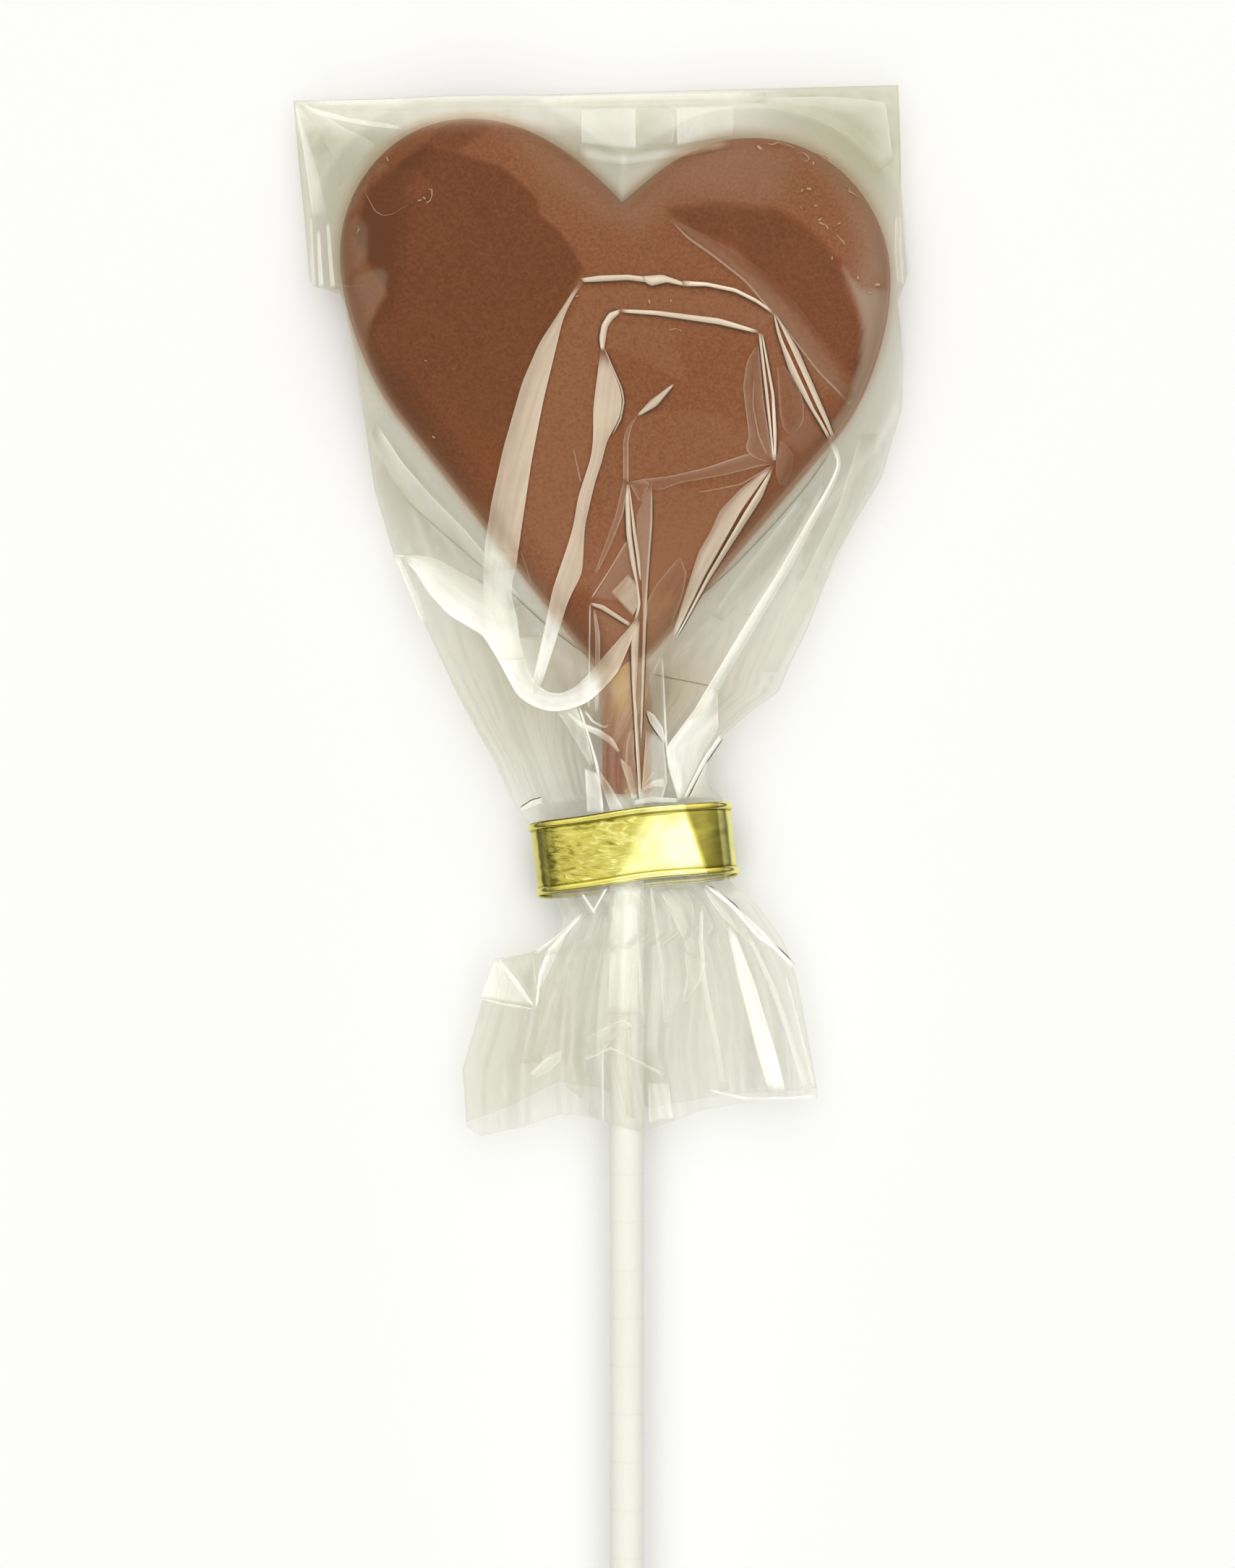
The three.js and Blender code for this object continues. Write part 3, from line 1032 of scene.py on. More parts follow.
@dataclass(frozen=True)
class ClearFilm:
    """Thin clear wrap: see-through, faintly green, glossy where it tilts, milky where folded or where
    light is painted in.
    """

    name: str
    milk_and_highlight: Colour = (0.90, 0.89, 0.82)
    cream: Colour = (0.92, 0.76, 0.57)
    brown: Colour = (0.74, 0.40, 0.25)
    clear: Colour = (0.968, 0.968, 0.953)
    tinted: Colour = (0.925, 0.918, 0.868)
    gloss: float = 0.9
    least_gloss: float = 0.02
    crinkle: float = 5.0
    strength: float = 0.25
    glow: float = 0.2

    def material(self) -> bpy.types.Material:
        """Makes the finish.

        Returns:
            The material.
        """
        wires = Wires.finish(self.name)
        where = wires.place()
        wrinkle = wires.grain(wires.place((1.0, 0.45, 1.0)), self.crinkle, 1.5, 0.8)
        cloud = wires.grain(where, 5.0, 3.0)
        lay = wires.relief(wrinkle * wires.painted("loose"), 0.22, self.strength)
        spot = wires.node(
            "ShaderNodeCombineXYZ", {}, {0: wires.painted("lane"), 1: wires.painted("run")}
        )
        streak = wires.grain(spot.outputs[0], 1.0, 1.2)
        # Painted light: the milk stands partly for folded film and partly for reflections and lifted
        # shade.
        haze = wires.painted("haze") * (0.82 + cloud * 0.24 + streak.eased(0.3, 0.7) * 0.12)
        haze = haze + wires.painted("pleated") * streak.eased(0.46, 0.7)
        share = 1.0 - (1.0 - haze.kept()) ** 0.5
        warm = wires.mixed(haze.eased(0.05, 0.6), self.brown, self.cream)
        body = wires.mixed(wires.painted("warm").kept(), self.milk_and_highlight, warm)
        clear = wires.shader("ShaderNodeBsdfTransparent", Color=self.clear)
        tinted = wires.shader("ShaderNodeBsdfTransparent", Color=self.tinted)
        tint = wires.painted("tint").kept()
        see = wires.node("ShaderNodeMixShader", {}, {0: tint, 1: clear, 2: tinted}).outputs[0]
        # The milky part glows a little as well: painted light, since the film is no lamp.
        milky = wires.shader(
            PRINCIPLED,
            Base_Color=body,
            Roughness=0.3,
            Normal=lay,
            Emission_Color=wires.mixed(wires.painted("warm").kept(), self.milk_and_highlight, (0.0, 0.0, 0.0)),
            Emission_Strength=self.glow,
        )
        mirror = wires.shader(
            PRINCIPLED,
            Base_Color=(0.96, 0.96, 0.94),
            Metallic=1.0,
            Roughness=0.08,
            Normal=lay,
        )
        facing = wires.node("ShaderNodeLayerWeight", {}, {"Blend": 0.5}).outputs["Facing"]
        edge = Term(wires, facing) ** 5.0
        veiled = wires.node("ShaderNodeMixShader", {}, {0: share, 1: see, 2: milky})
        shine = (wires.painted("loose") * self.least_gloss + edge * self.gloss * 0.5).kept()
        made = wires.node("ShaderNodeMixShader", {}, {0: shine, 1: veiled.outputs[0], 2: mirror})
        return wires.done(made.outputs[0])


@dataclass(frozen=True)
class FoldShadeLine:
    """A thin dark line painted along a fold: painted shade and dark reflection where the film is seen edge
    on.
    """

    dark: Colour = (0.10, 0.05, 0.028)
    share: float = 0.5

    def material(self) -> bpy.types.Material:
        """Makes the finish.

        Returns:
            The material.
        """
        wires = Wires.finish("fold_shade_line")
        run = wires.grain(wires.place(), 1.4, 3.0)
        clear = wires.shader("ShaderNodeBsdfTransparent", Color=(0.95, 0.95, 0.93))
        line = wires.shader(PRINCIPLED, Base_Color=self.dark, Roughness=0.3)
        much = (wires.painted("haze") * (0.6 + run * 0.8) * self.share).kept()
        made = wires.node("ShaderNodeMixShader", {}, {0: much, 1: clear, 2: line})
        return wires.done(made.outputs[0])


@dataclass(frozen=True)
class Zone:
    """A patch of the heart's front: how much it changes there, and how softly it ends.

    It also fades in between the two heights of fade, for a patch that has no clear lower end.
    """

    name: str
    corners: Sequence[Point]
    change: float
    soft: float = 1.0
    fade: tuple[float, float] = (-99.0, -98.0)

    def share(self, points: Array) -> Array:
        """How much of the change each point gets, from 0 to 1."""
        inside = ease(-self.soft, self.soft, Region(self.corners).depth(points))
        return inside * ease(*self.fade, points[:, 1])


# Painted light: patches where the film's reflections and shade are painted into the chocolate's tone.
PAINTED_LIGHT_ZONES: tuple[Zone, ...] = (
    Zone("left_contact", ((-26.3, 71.7), (-22.2, 70.4), (-19.5, 69.4), (-16.4, 68.6), (-13.9, 66.4),
        (-11.8, 64.4), (-11.4, 62.3), (-8.7, 60), (-6.9, 57.4), (-5.7, 55.2), (-8.5, 50), (-12, 43),
        (-14.5, 34), (-17, 24), (-24, 26), (-33, 40), (-34.5, 47), (-31, 52), (-33.5, 56), (-35.5, 60),
        (-33.5, 66)), -0.6, 0.35, (8.0, 44.0)),
    Zone("left_leaf", ((-26.3, 71.9), (-24.3, 73.8), (-21.7, 75.2), (-18.9, 74.9), (-17.4, 74.1),
        (-18.4, 73.2), (-22.2, 70.5)), -0.5, 0.25),
    Zone("left_bubble", ((-34.2, 65.9), (-32.2, 62.1), (-28.3, 63.8), (-25.5, 65.6), (-27.2, 68.3),
        (-31, 68.3)), 0.16, 0.15),
    Zone("left_edge", ((-37, 46), (-31, 50), (-30, 58), (-28.5, 66), (-26, 71), (-30, 74.5), (-35, 69),
        (-38, 60)), -0.4, 2.4),
    Zone("right_contact", ((5.2, 63.1), (11.9, 63.9), (19.7, 62.9), (23.8, 60.3), (27.7, 56.4),
        (29.3, 50.9), (30.8, 48.1), (32.2, 44), (30.5, 40.1), (28, 42.5), (22.4, 49.5), (18.2, 53.6),
        (14.1, 58.1), (8.5, 60.3), (5.5, 62.6)), -0.55, 0.6),
    Zone("right_low", ((24, 30), (31, 41), (33, 36), (28, 28)), -0.5, 1.4),
    Zone("between_bands", ((-5.6, 52.6), (2.4, 52.9), (12.7, 51.6), (18.5, 48.8), (17.3, 46.8),
        (7.6, 48.2), (-1, 48.6), (-3.6, 46), (-4, 36), (-6, 26), (-11, 12), (-15, 12), (-13, 28),
        (-9, 44)), 0.12, 0.5),
    Zone("inside_bands", ((-2, 48), (17, 46.4), (19, 30), (9, 27.6), (0, 27), (0, 38)), -0.06, 2.0),
    Zone("inside_facet", ((-2.4, 48.2), (6, 47.4), (8, 40), (1.4, 43.6), (-2.6, 45)), 0.16, 0.3),
    Zone("inside_low", ((0, 36), (8, 37), (18, 34), (19, 30), (9, 27.6), (0, 27)), 0.14, 0.5),
    Zone("below_node", ((-1, 27), (8, 26.5), (15, 27), (9, 16), (5, 6), (2, 2), (0, 8)), 0.12, 1.2),
    Zone("tip_shade", ((-10, 11), (-5, 14), (-2, 4), (-1.5, 0), (-6, 5)), -0.4, 0.8),
)  # fmt: skip

# Painted reflection: patches of greyish sheen from the film, painted onto the chocolate.
SHEEN_ZONES: tuple[Zone, ...] = (
    Zone("upper_band", ((-18, 76), (-11, 68), (-4, 62.5), (2, 60), (6, 64.5), (20, 64.5), (22, 70),
        (14, 74.5), (4, 71.5), (-1, 66), (-8, 72), (-14, 76.5)), 0.24, 3.0),
    Zone("left_upper_patch", ((-35.2, 62.3), (-33.9, 60.6), (-33.8, 57), (-34.5, 55.7), (-36.7, 53.9),
        (-37.4, 55.7), (-37, 59), (-36.7, 61.5)), 0.28, 0.4),
    Zone("left_lower_patch", ((-36.7, 51.9), (-35.4, 54.7), (-31.9, 55.2), (-31.2, 54.4), (-31.6, 51.9),
        (-33.4, 48.6), (-33.9, 45), (-35.4, 46.8), (-36.5, 49.8)), 0.32, 0.4),
    Zone("right_rim", ((21, 76), (22, 71), (26, 68), (29, 64), (31, 58), (30, 53), (36, 52), (36, 60),
        (31, 70)), 0.5, 2.6),
    Zone("right_crescent", ((28.2, 55.4), (29.2, 54), (30.8, 52.5), (34.6, 52.5), (37, 51), (37, 47),
        (32, 34), (26, 34), (28.4, 37.2), (30.5, 43), (30.9, 47.2), (30.2, 50.3), (29.2, 52.9)),
        0.95, 0.5),
    Zone("left_rim_band", ((-37.1, 62.6), (-36.1, 64.6), (-34.1, 66.8), (-32.4, 69.1), (-31.5, 69.4),
        (-31.4, 68.5), (-33.5, 67.1), (-34.4, 65.4), (-35.8, 62.6)), 0.3, 0.35),
    Zone("right_streak", ((5.4, 61.8), (9.2, 58.9), (13, 56.3), (15.8, 52.9), (20, 47.3), (25.6, 40.3),
        (28.8, 37.6), (30, 39), (26.5, 42.6), (22.3, 48.5), (18, 53), (12.6, 57.3), (8, 60.6)), 0.21, 0.3),
    Zone("right_flank_grey", ((20.5, 33), (23, 31), (26, 34), (23.5, 36.5)), 0.21, 0.5),
    Zone("left_of_tip", ((-5.1, 11.3), (-1.6, 10.3), (-0.2, 8.4), (-1.6, 5.1), (-3, 2.8), (-4.9, 5.6)),
        0.16, 0.5),
)  # fmt: skip

CHOCOLATE_PAINT: tuple[str, ...] = ("tone", "dust", "glow")

LIT_ZONE = Zone(
    "right_of_tip", ((2.4, 11.8), (4.6, 12.6), (7.6, 12.8), (8, 12), (5.6, 8.2), (3.1, 4.8), (2.4, 4.8)),
    0.34, 1.5,
)  # fmt: skip


@dataclass
class ChocolateHeart:
    """The solid heart, its neck round the stick and the crumbs that lie on it.

    Each crumb is its place and radius, and each curl half its thickness and the line that it follows.
    """

    form: HeartForm = field(default_factory=HeartForm)
    finish: MilkChocolate = field(default_factory=MilkChocolate)
    rings: int = 112
    waviness: float = 0.07
    crown_above: float = 6.5
    front_tone: float = 0.76
    tip_tone: float = 0.16
    edge_painted_light: float = 0.1
    flank_tone: float = -0.2
    edge_dust: float = 0.14
    brim_dust: float = 0.21
    cleft_dust: float = 0.25
    side_painted_light: float = 0.45
    side_dust: float = 0.5
    neck_centre: float = 5.3
    neck_profile: Sequence[Point] = (
        (-13.2, 0.0), (-13.2, 2.9), (-12.8, 3.15), (-8.0, 3.3), (-3.0, 3.5), (1.0, 3.4), (6.0, 3.0),
        (6.0, 0.0),
    )  # fmt: skip
    crumb_shape: tuple[float, float, float] = (1.05, 0.525, 0.294)
    crumb_lift: float = 0.09
    curl_lift: float = 0.05
    crumbs: Sequence[tuple[float, float, float]] = (
        (17.3, 71.0, 0.42), (22.8, 65.4, 0.28), (23.7, 65.6, 0.36), (24.6, 63.4, 0.26), (27.6, 61.1, 0.25),
        (26.7, 56.6, 0.25), (30.1, 54.0, 0.3), (32.6, 53.2, 0.42), (31.6, 52.1, 0.3), (24.3, 69.0, 0.28),
        (25.1, 61.6, 0.3), (-27.0, 64.1, 0.28), (-26.4, 64.4, 0.25), (-26.2, 43.2, 0.22),
        (-25.2, 33.3, 0.25), (-6.5, 51.6, 0.25), (2.9, 50.9, 0.32), (5.7, 51.0, 0.25),
    )  # fmt: skip
    curls: Sequence[tuple[float, Sequence[Point]]] = (
        (0.14, ((18.2, 71.8), (18.9, 71.5), (19.7, 71.9), (20.5, 71.7), (21.4, 71.4), (21.9, 71.1))),
        (0.13, ((22.1, 70.1), (22.4, 70.5), (23.2, 70.4), (23.8, 69.7), (23.4, 69.2), (22.7, 69.5))),
        (0.10, ((24.8, 70.8), (25.3, 70.4), (25.9, 70.4), (26.4, 69.9))),
        (0.14, ((28.5, 66.3), (29.1, 65.7), (28.9, 65.4), (29.6, 65.1), (30.3, 64.6))),
        (0.09, ((29.5, 67.0), (29.6, 66.5), (30.0, 66.1))),
        (0.15, ((24.9, 61.3), (25.3, 61.1), (25.9, 60.9), (26.3, 60.3))),
        (0.12, ((27.3, 59.7), (27.8, 59.1), (28.2, 58.7), (28.5, 58.1))),
        (0.07, ((22.5, 63.4), (22.9, 62.9))),
        (0.12, ((-25.9, 65.6), (-25.4, 65.5), (-25.4, 64.7), (-25.6, 64.1), (-26.2, 63.7))),
        (0.13, ((-31.4, 69.9), (-31.1, 69.3))),
        (0.09, ((-35.2, 60.9), (-34.9, 60.4), (-35.3, 59.8))),
        (0.05, ((-33.9, 66.4), (-34.2, 65.4), (-33.5, 64.0), (-32.8, 62.7), (-31.7, 62.1),
                (-30.4, 62.4), (-28.4, 63.6))),
        (0.08, ((5.4, 47.2), (6.4, 47.4), (7.2, 47.0))),
    )  # fmt: skip

    def outline_ring(self, grow: float) -> Array:
        """The outline with its first point again at the end."""
        ring = self.form.outline(grow)
        return np.concatenate([ring, ring[:1]])

    def body(self) -> bpy.types.Object:
        """Makes the heart itself: a sheet of rings closed along a seam and at two poles.

        Returns:
            The piece.
        """
        mesh = Workbench.start(*CHOCOLATE_PAINT)
        form = self.form
        levels = [(0.0, -form.draft, form.back), (0.97, -form.draft, form.back),
                  (1.0, -0.35, form.back + 0.12), (1.0, 0.0, form.back + 0.5),
                  (1.0, 0.0, 2.2), (1.0, -0.3, 4.2)]  # fmt: skip
        arc = np.linspace(0.0, math.pi / 2.0, 9)
        levels += [(1.0, -form.draft - form.edge * (1.0 - math.cos(a)), math.nan) for a in arc]
        inset = -form.draft - form.edge
        levels += [(s, inset, math.nan) for s in np.linspace(0.985, 0.0, self.rings)]
        columns = len(form.outline())
        vertices, shares = Workbench.sheet(mesh, columns, len(levels) - 1)
        turn = np.rint(shares[:, 0] * columns).astype(int)
        level = np.rint(shares[:, 1] * (len(levels) - 1)).astype(int)
        rings = np.stack([self.outline_ring(grow) for _, grow, _ in levels])
        scale = np.array([share for share, _, _ in levels])[level][:, None]
        centre = np.array(form.centre)
        plan = centre + (rings[level, turn] - centre) * scale
        given = np.array([z for _, _, z in levels])[level]
        depth = Region(form.outline()).depth(plan)
        wave = Crumple(5, 17.0, 7).height(plan) * self.waviness
        calm = ease(0.5, 4.0, depth)
        height = np.where(np.isnan(given), form.front(depth) + wave * calm, given)
        Workbench.put(vertices, *plan.T, height)
        self.tones(mesh, vertices, plan, depth, np.isnan(given))
        bmesh.ops.remove_doubles(mesh, verts=mesh.verts, dist=0.002)
        bmesh.ops.recalc_face_normals(mesh, faces=mesh.faces)
        crown = [v for v in mesh.verts if v.co.z > self.crown_above]
        for _ in range(3):
            bmesh.ops.smooth_vert(mesh, verts=crown, factor=0.5, use_axis_z=True)
        return Workbench.settle(
            "heart_slab", mesh, [self.finish.material("milk_chocolate")], "milk_chocolate",
            "chocolate_heart",
        )  # fmt: skip

    def tones(
        self, mesh: bmesh.types.BMesh, vertices: Sequence, plan: Array, depth: Array, front: Array
    ) -> None:
        """Paints each place's tone and sheen, with the film's reflections and shade painted in.

        Args:
            mesh: the heart.
            vertices: its vertices.
            plan: their places.
            depth: how deep inside the outline they are.
            front: whether they belong to the front.
        """
        x, y = plan.T
        tone = self.front_tone + self.tip_tone * ease(24.0, 12.0, y)
        # Painted light: the rim is lifted against its shade and sheened, and the cleft sheened.
        tone += self.edge_painted_light * ease(2.0, 0.0, depth)
        dust = self.edge_dust * ease(3.4, 0.4, depth) + self.brim_dust * ease(1.5, 0.3, depth)
        near_cleft = np.hypot(x - self.form.cleft[0], y - self.form.cleft[1])
        dust += self.cleft_dust * ease(13.0, 0.0, near_cleft) * ease(4.6, 0.6, depth)
        tone += self.flank_tone * (ease(46.0, 40.0, y) * ease(5.2, 3.2, depth))
        glow = ease(44.0, 34.0, y) * ease(0.75, 0.35, depth) * ease(-0.2, 0.1, depth)
        for zone in PAINTED_LIGHT_ZONES:
            LOG.debug("tone of %s", zone.name)
            tone += zone.change * zone.share(plan)
        for zone in SHEEN_ZONES:
            LOG.debug("dust of %s", zone.name)
            dust = np.maximum(dust, zone.change * zone.share(plan))
        glow = np.maximum(glow, LIT_ZONE.change * LIT_ZONE.share(plan))
        # The sides get a painted tone and sheen that lift their shade.
        Workbench.paint_all(
            mesh,
            vertices,
            tone=np.where(front, tone, self.side_painted_light),
            dust=np.where(front, dust, self.side_dust),
            glow=np.where(front, glow, 0.0),
        )

    def neck(self) -> bpy.types.Object:
        """Makes the chocolate round the stick: its profile spun about the stick's line.

        Returns:
            The piece.
        """
        mesh = Workbench.start(*CHOCOLATE_PAINT)
        points = [mesh.verts.new((radius, place, 0.0)) for place, radius in self.neck_profile]
        edges = [mesh.edges.new(pair) for pair in zip(points, points[1:])]
        bmesh.ops.subdivide_edges(mesh, edges=edges[1:-1], cuts=7)
        bmesh.ops.spin(
            mesh,
            geom=mesh.verts[:] + mesh.edges[:],
            cent=(0.0, 0.0, 0.0),
            axis=(0.0, 1.0, 0.0),
            angle=2.0 * math.pi,
            steps=56,
            use_merge=True,
        )
        bmesh.ops.remove_doubles(mesh, verts=mesh.verts, dist=0.01)
        spots = np.array([v.co for v in mesh.verts])
        rough = Crumple(8, 4.0).height(spots[:, :2] + spots[:, 2:] * 0.7)
        swell = 1.0 + 0.025 * rough * (np.hypot(spots[:, 0], spots[:, 2]) > 1.0)
        x = spots[:, 0] * swell - 0.5 * ease(-3.0, 3.0, spots[:, 1])
        Workbench.put(mesh.verts, x, spots[:, 1], spots[:, 2] * swell + self.neck_centre)
        tone = 0.9 + 0.12 * rough
        glow = 0.08 + 0.42 * ease(-8.5, -3.0, spots[:, 1])
        Workbench.paint_all(mesh, mesh.verts, tone=tone, dust=0.0, glow=glow)
        bmesh.ops.recalc_face_normals(mesh, faces=mesh.faces)
        return Workbench.settle(
            "neck_chocolate", mesh, [self.finish.material("neck_chocolate", True)],
            "milk_chocolate", "chocolate_heart",
        )  # fmt: skip

    def curl(
        self, mesh: bmesh.types.BMesh, region: Region, width: float, points: Sequence[Point]
    ) -> None:
        """Adds one thin curl of chocolate, rounded at both ends, that lies on the front.

        Args:
            mesh: the crumbs.
            region: the heart's outline.
            width: half its thickness, in millimetres.
            points: the line that it follows.
        """
        vertices, shares = Workbench.sheet(mesh, 8, 20)
        turn, up = 2.0 * math.pi * shares[:, 0], shares[:, 1]
        thick = width * np.sqrt(np.clip(1.0 - (2.0 * up - 1.0) ** 4, 0.0, 1.0))
        thick *= 0.8 + 0.3 * np.sin(up * 9.0 + points[0][0])
        aside = beside_line(points, up, 0.03)
        plan = soft_line(points, up) + aside * (np.cos(turn) * thick)[:, None]
        height = self.form.front(region.depth(plan)) + self.curl_lift + 0.7 * thick * np.sin(turn)
        Workbench.put(vertices, *plan.T, height)

    def crumb_dust(self) -> bpy.types.Object:
        """Makes the curls and crumbs that lie on the front, under the film.

        Returns:
            The piece.
        """
        mesh = Workbench.start(*CHOCOLATE_PAINT)
        region = Region(self.form.outline())
        places = np.array([(x, y) for x, y, _ in self.crumbs])
        heights = self.form.front(region.depth(places))
        draw = np.random.default_rng(21)
        for (x, y, size), height in zip(self.crumbs, heights):
            made = bmesh.ops.create_icosphere(mesh, subdivisions=2, radius=size)
            turn = Matrix.Rotation(draw.uniform(0.0, math.pi), 4, "Z")
            flat = Matrix.Diagonal((*self.crumb_shape, 1.0))
            place = Matrix.Translation((x, y, height + self.crumb_lift))
            bmesh.ops.transform(mesh, matrix=place @ turn @ flat, verts=made["verts"])
            for vertex in made["verts"]:
                vertex.co += Vector(draw.normal(0.0, 0.05 * size, 3))
        for width, points in self.curls:
            self.curl(mesh, region, width, points)
        bmesh.ops.remove_doubles(mesh, verts=mesh.verts, dist=0.001)
        bmesh.ops.recalc_face_normals(mesh, faces=mesh.faces)
        # Painted highlight: the crumbs and curls are painted paler, sheened and lit.
        Workbench.paint_all(mesh, mesh.verts, tone=1.3, dust=0.8, glow=0.7)
        return Workbench.settle(
            "chocolate_crumbs", mesh, [self.finish.material("crumb_chocolate")],
            "milk_chocolate", "chocolate_heart",
        )  # fmt: skip


@dataclass
class PaperStick:
    """The paper stick, from its foot up into the heart."""

    radius: float = 2.25
    length: float = 160.0
    inside_heart: float = 38.0
    lift: float = 5.3
    chamfer: float = 0.25
    core: float = 0.55
    recess: float = 0.35
    lengths: int = 60

    def build(self) -> bpy.types.Object:
        """Makes the stick from a disc that is drawn out, eased at its ends and opened at its core.

        Returns:
            The piece.
        """
        mesh = bmesh.new()
        bmesh.ops.create_circle(mesh, cap_ends=True, segments=56, radius=self.radius)
        bmesh.ops.rotate(mesh, verts=mesh.verts, matrix=Matrix.Rotation(math.pi / 2.0, 3, "X"))
        foot = self.inside_heart - self.length
        bmesh.ops.translate(mesh, verts=mesh.verts, vec=(0.0, foot, 0.0))
        drawn = bmesh.ops.extrude_face_region(mesh, geom=mesh.faces[:])["geom"]
        moved = [g for g in drawn if isinstance(g, bmesh.types.BMVert)]
        bmesh.ops.translate(mesh, verts=moved, vec=(0.0, self.length, 0.0))
        bmesh.ops.recalc_face_normals(mesh, faces=mesh.faces)
        ends = [f for f in mesh.faces if len(f.verts) > 4]
        rims = list(dict.fromkeys(e for f in ends for e in f.edges))
        bmesh.ops.bevel(
            mesh, geom=rims, affect="EDGES", offset=self.chamfer, segments=3, profile=0.5,
            material=-1,
        )  # fmt: skip
        for end in [f for f in mesh.faces if len(f.verts) > 4]:
            inner = end.calc_center_median()
            bmesh.ops.inset_individual(mesh, faces=[end], thickness=self.radius - self.chamfer - self.core)
            sunk = Vector((0.0, math.copysign(self.recess, -inner.y), 0.0))
            inset = bmesh.ops.extrude_discrete_faces(mesh, faces=[end])["faces"]
            bmesh.ops.translate(mesh, verts=inset[0].verts, vec=sunk)
        long_edges = [e for e in mesh.edges if e.calc_length() > self.length / 2.0]
        bmesh.ops.subdivide_edges(mesh, edges=long_edges, cuts=self.lengths, use_grid_fill=True)
        bmesh.ops.translate(mesh, verts=mesh.verts, vec=(0.0, 0.0, self.lift))
        bmesh.ops.recalc_face_normals(mesh, faces=mesh.faces)
        return Workbench.settle(
            "paper_stick", mesh, [RolledPaper().material()], "rolled_paper", "stick"
        )


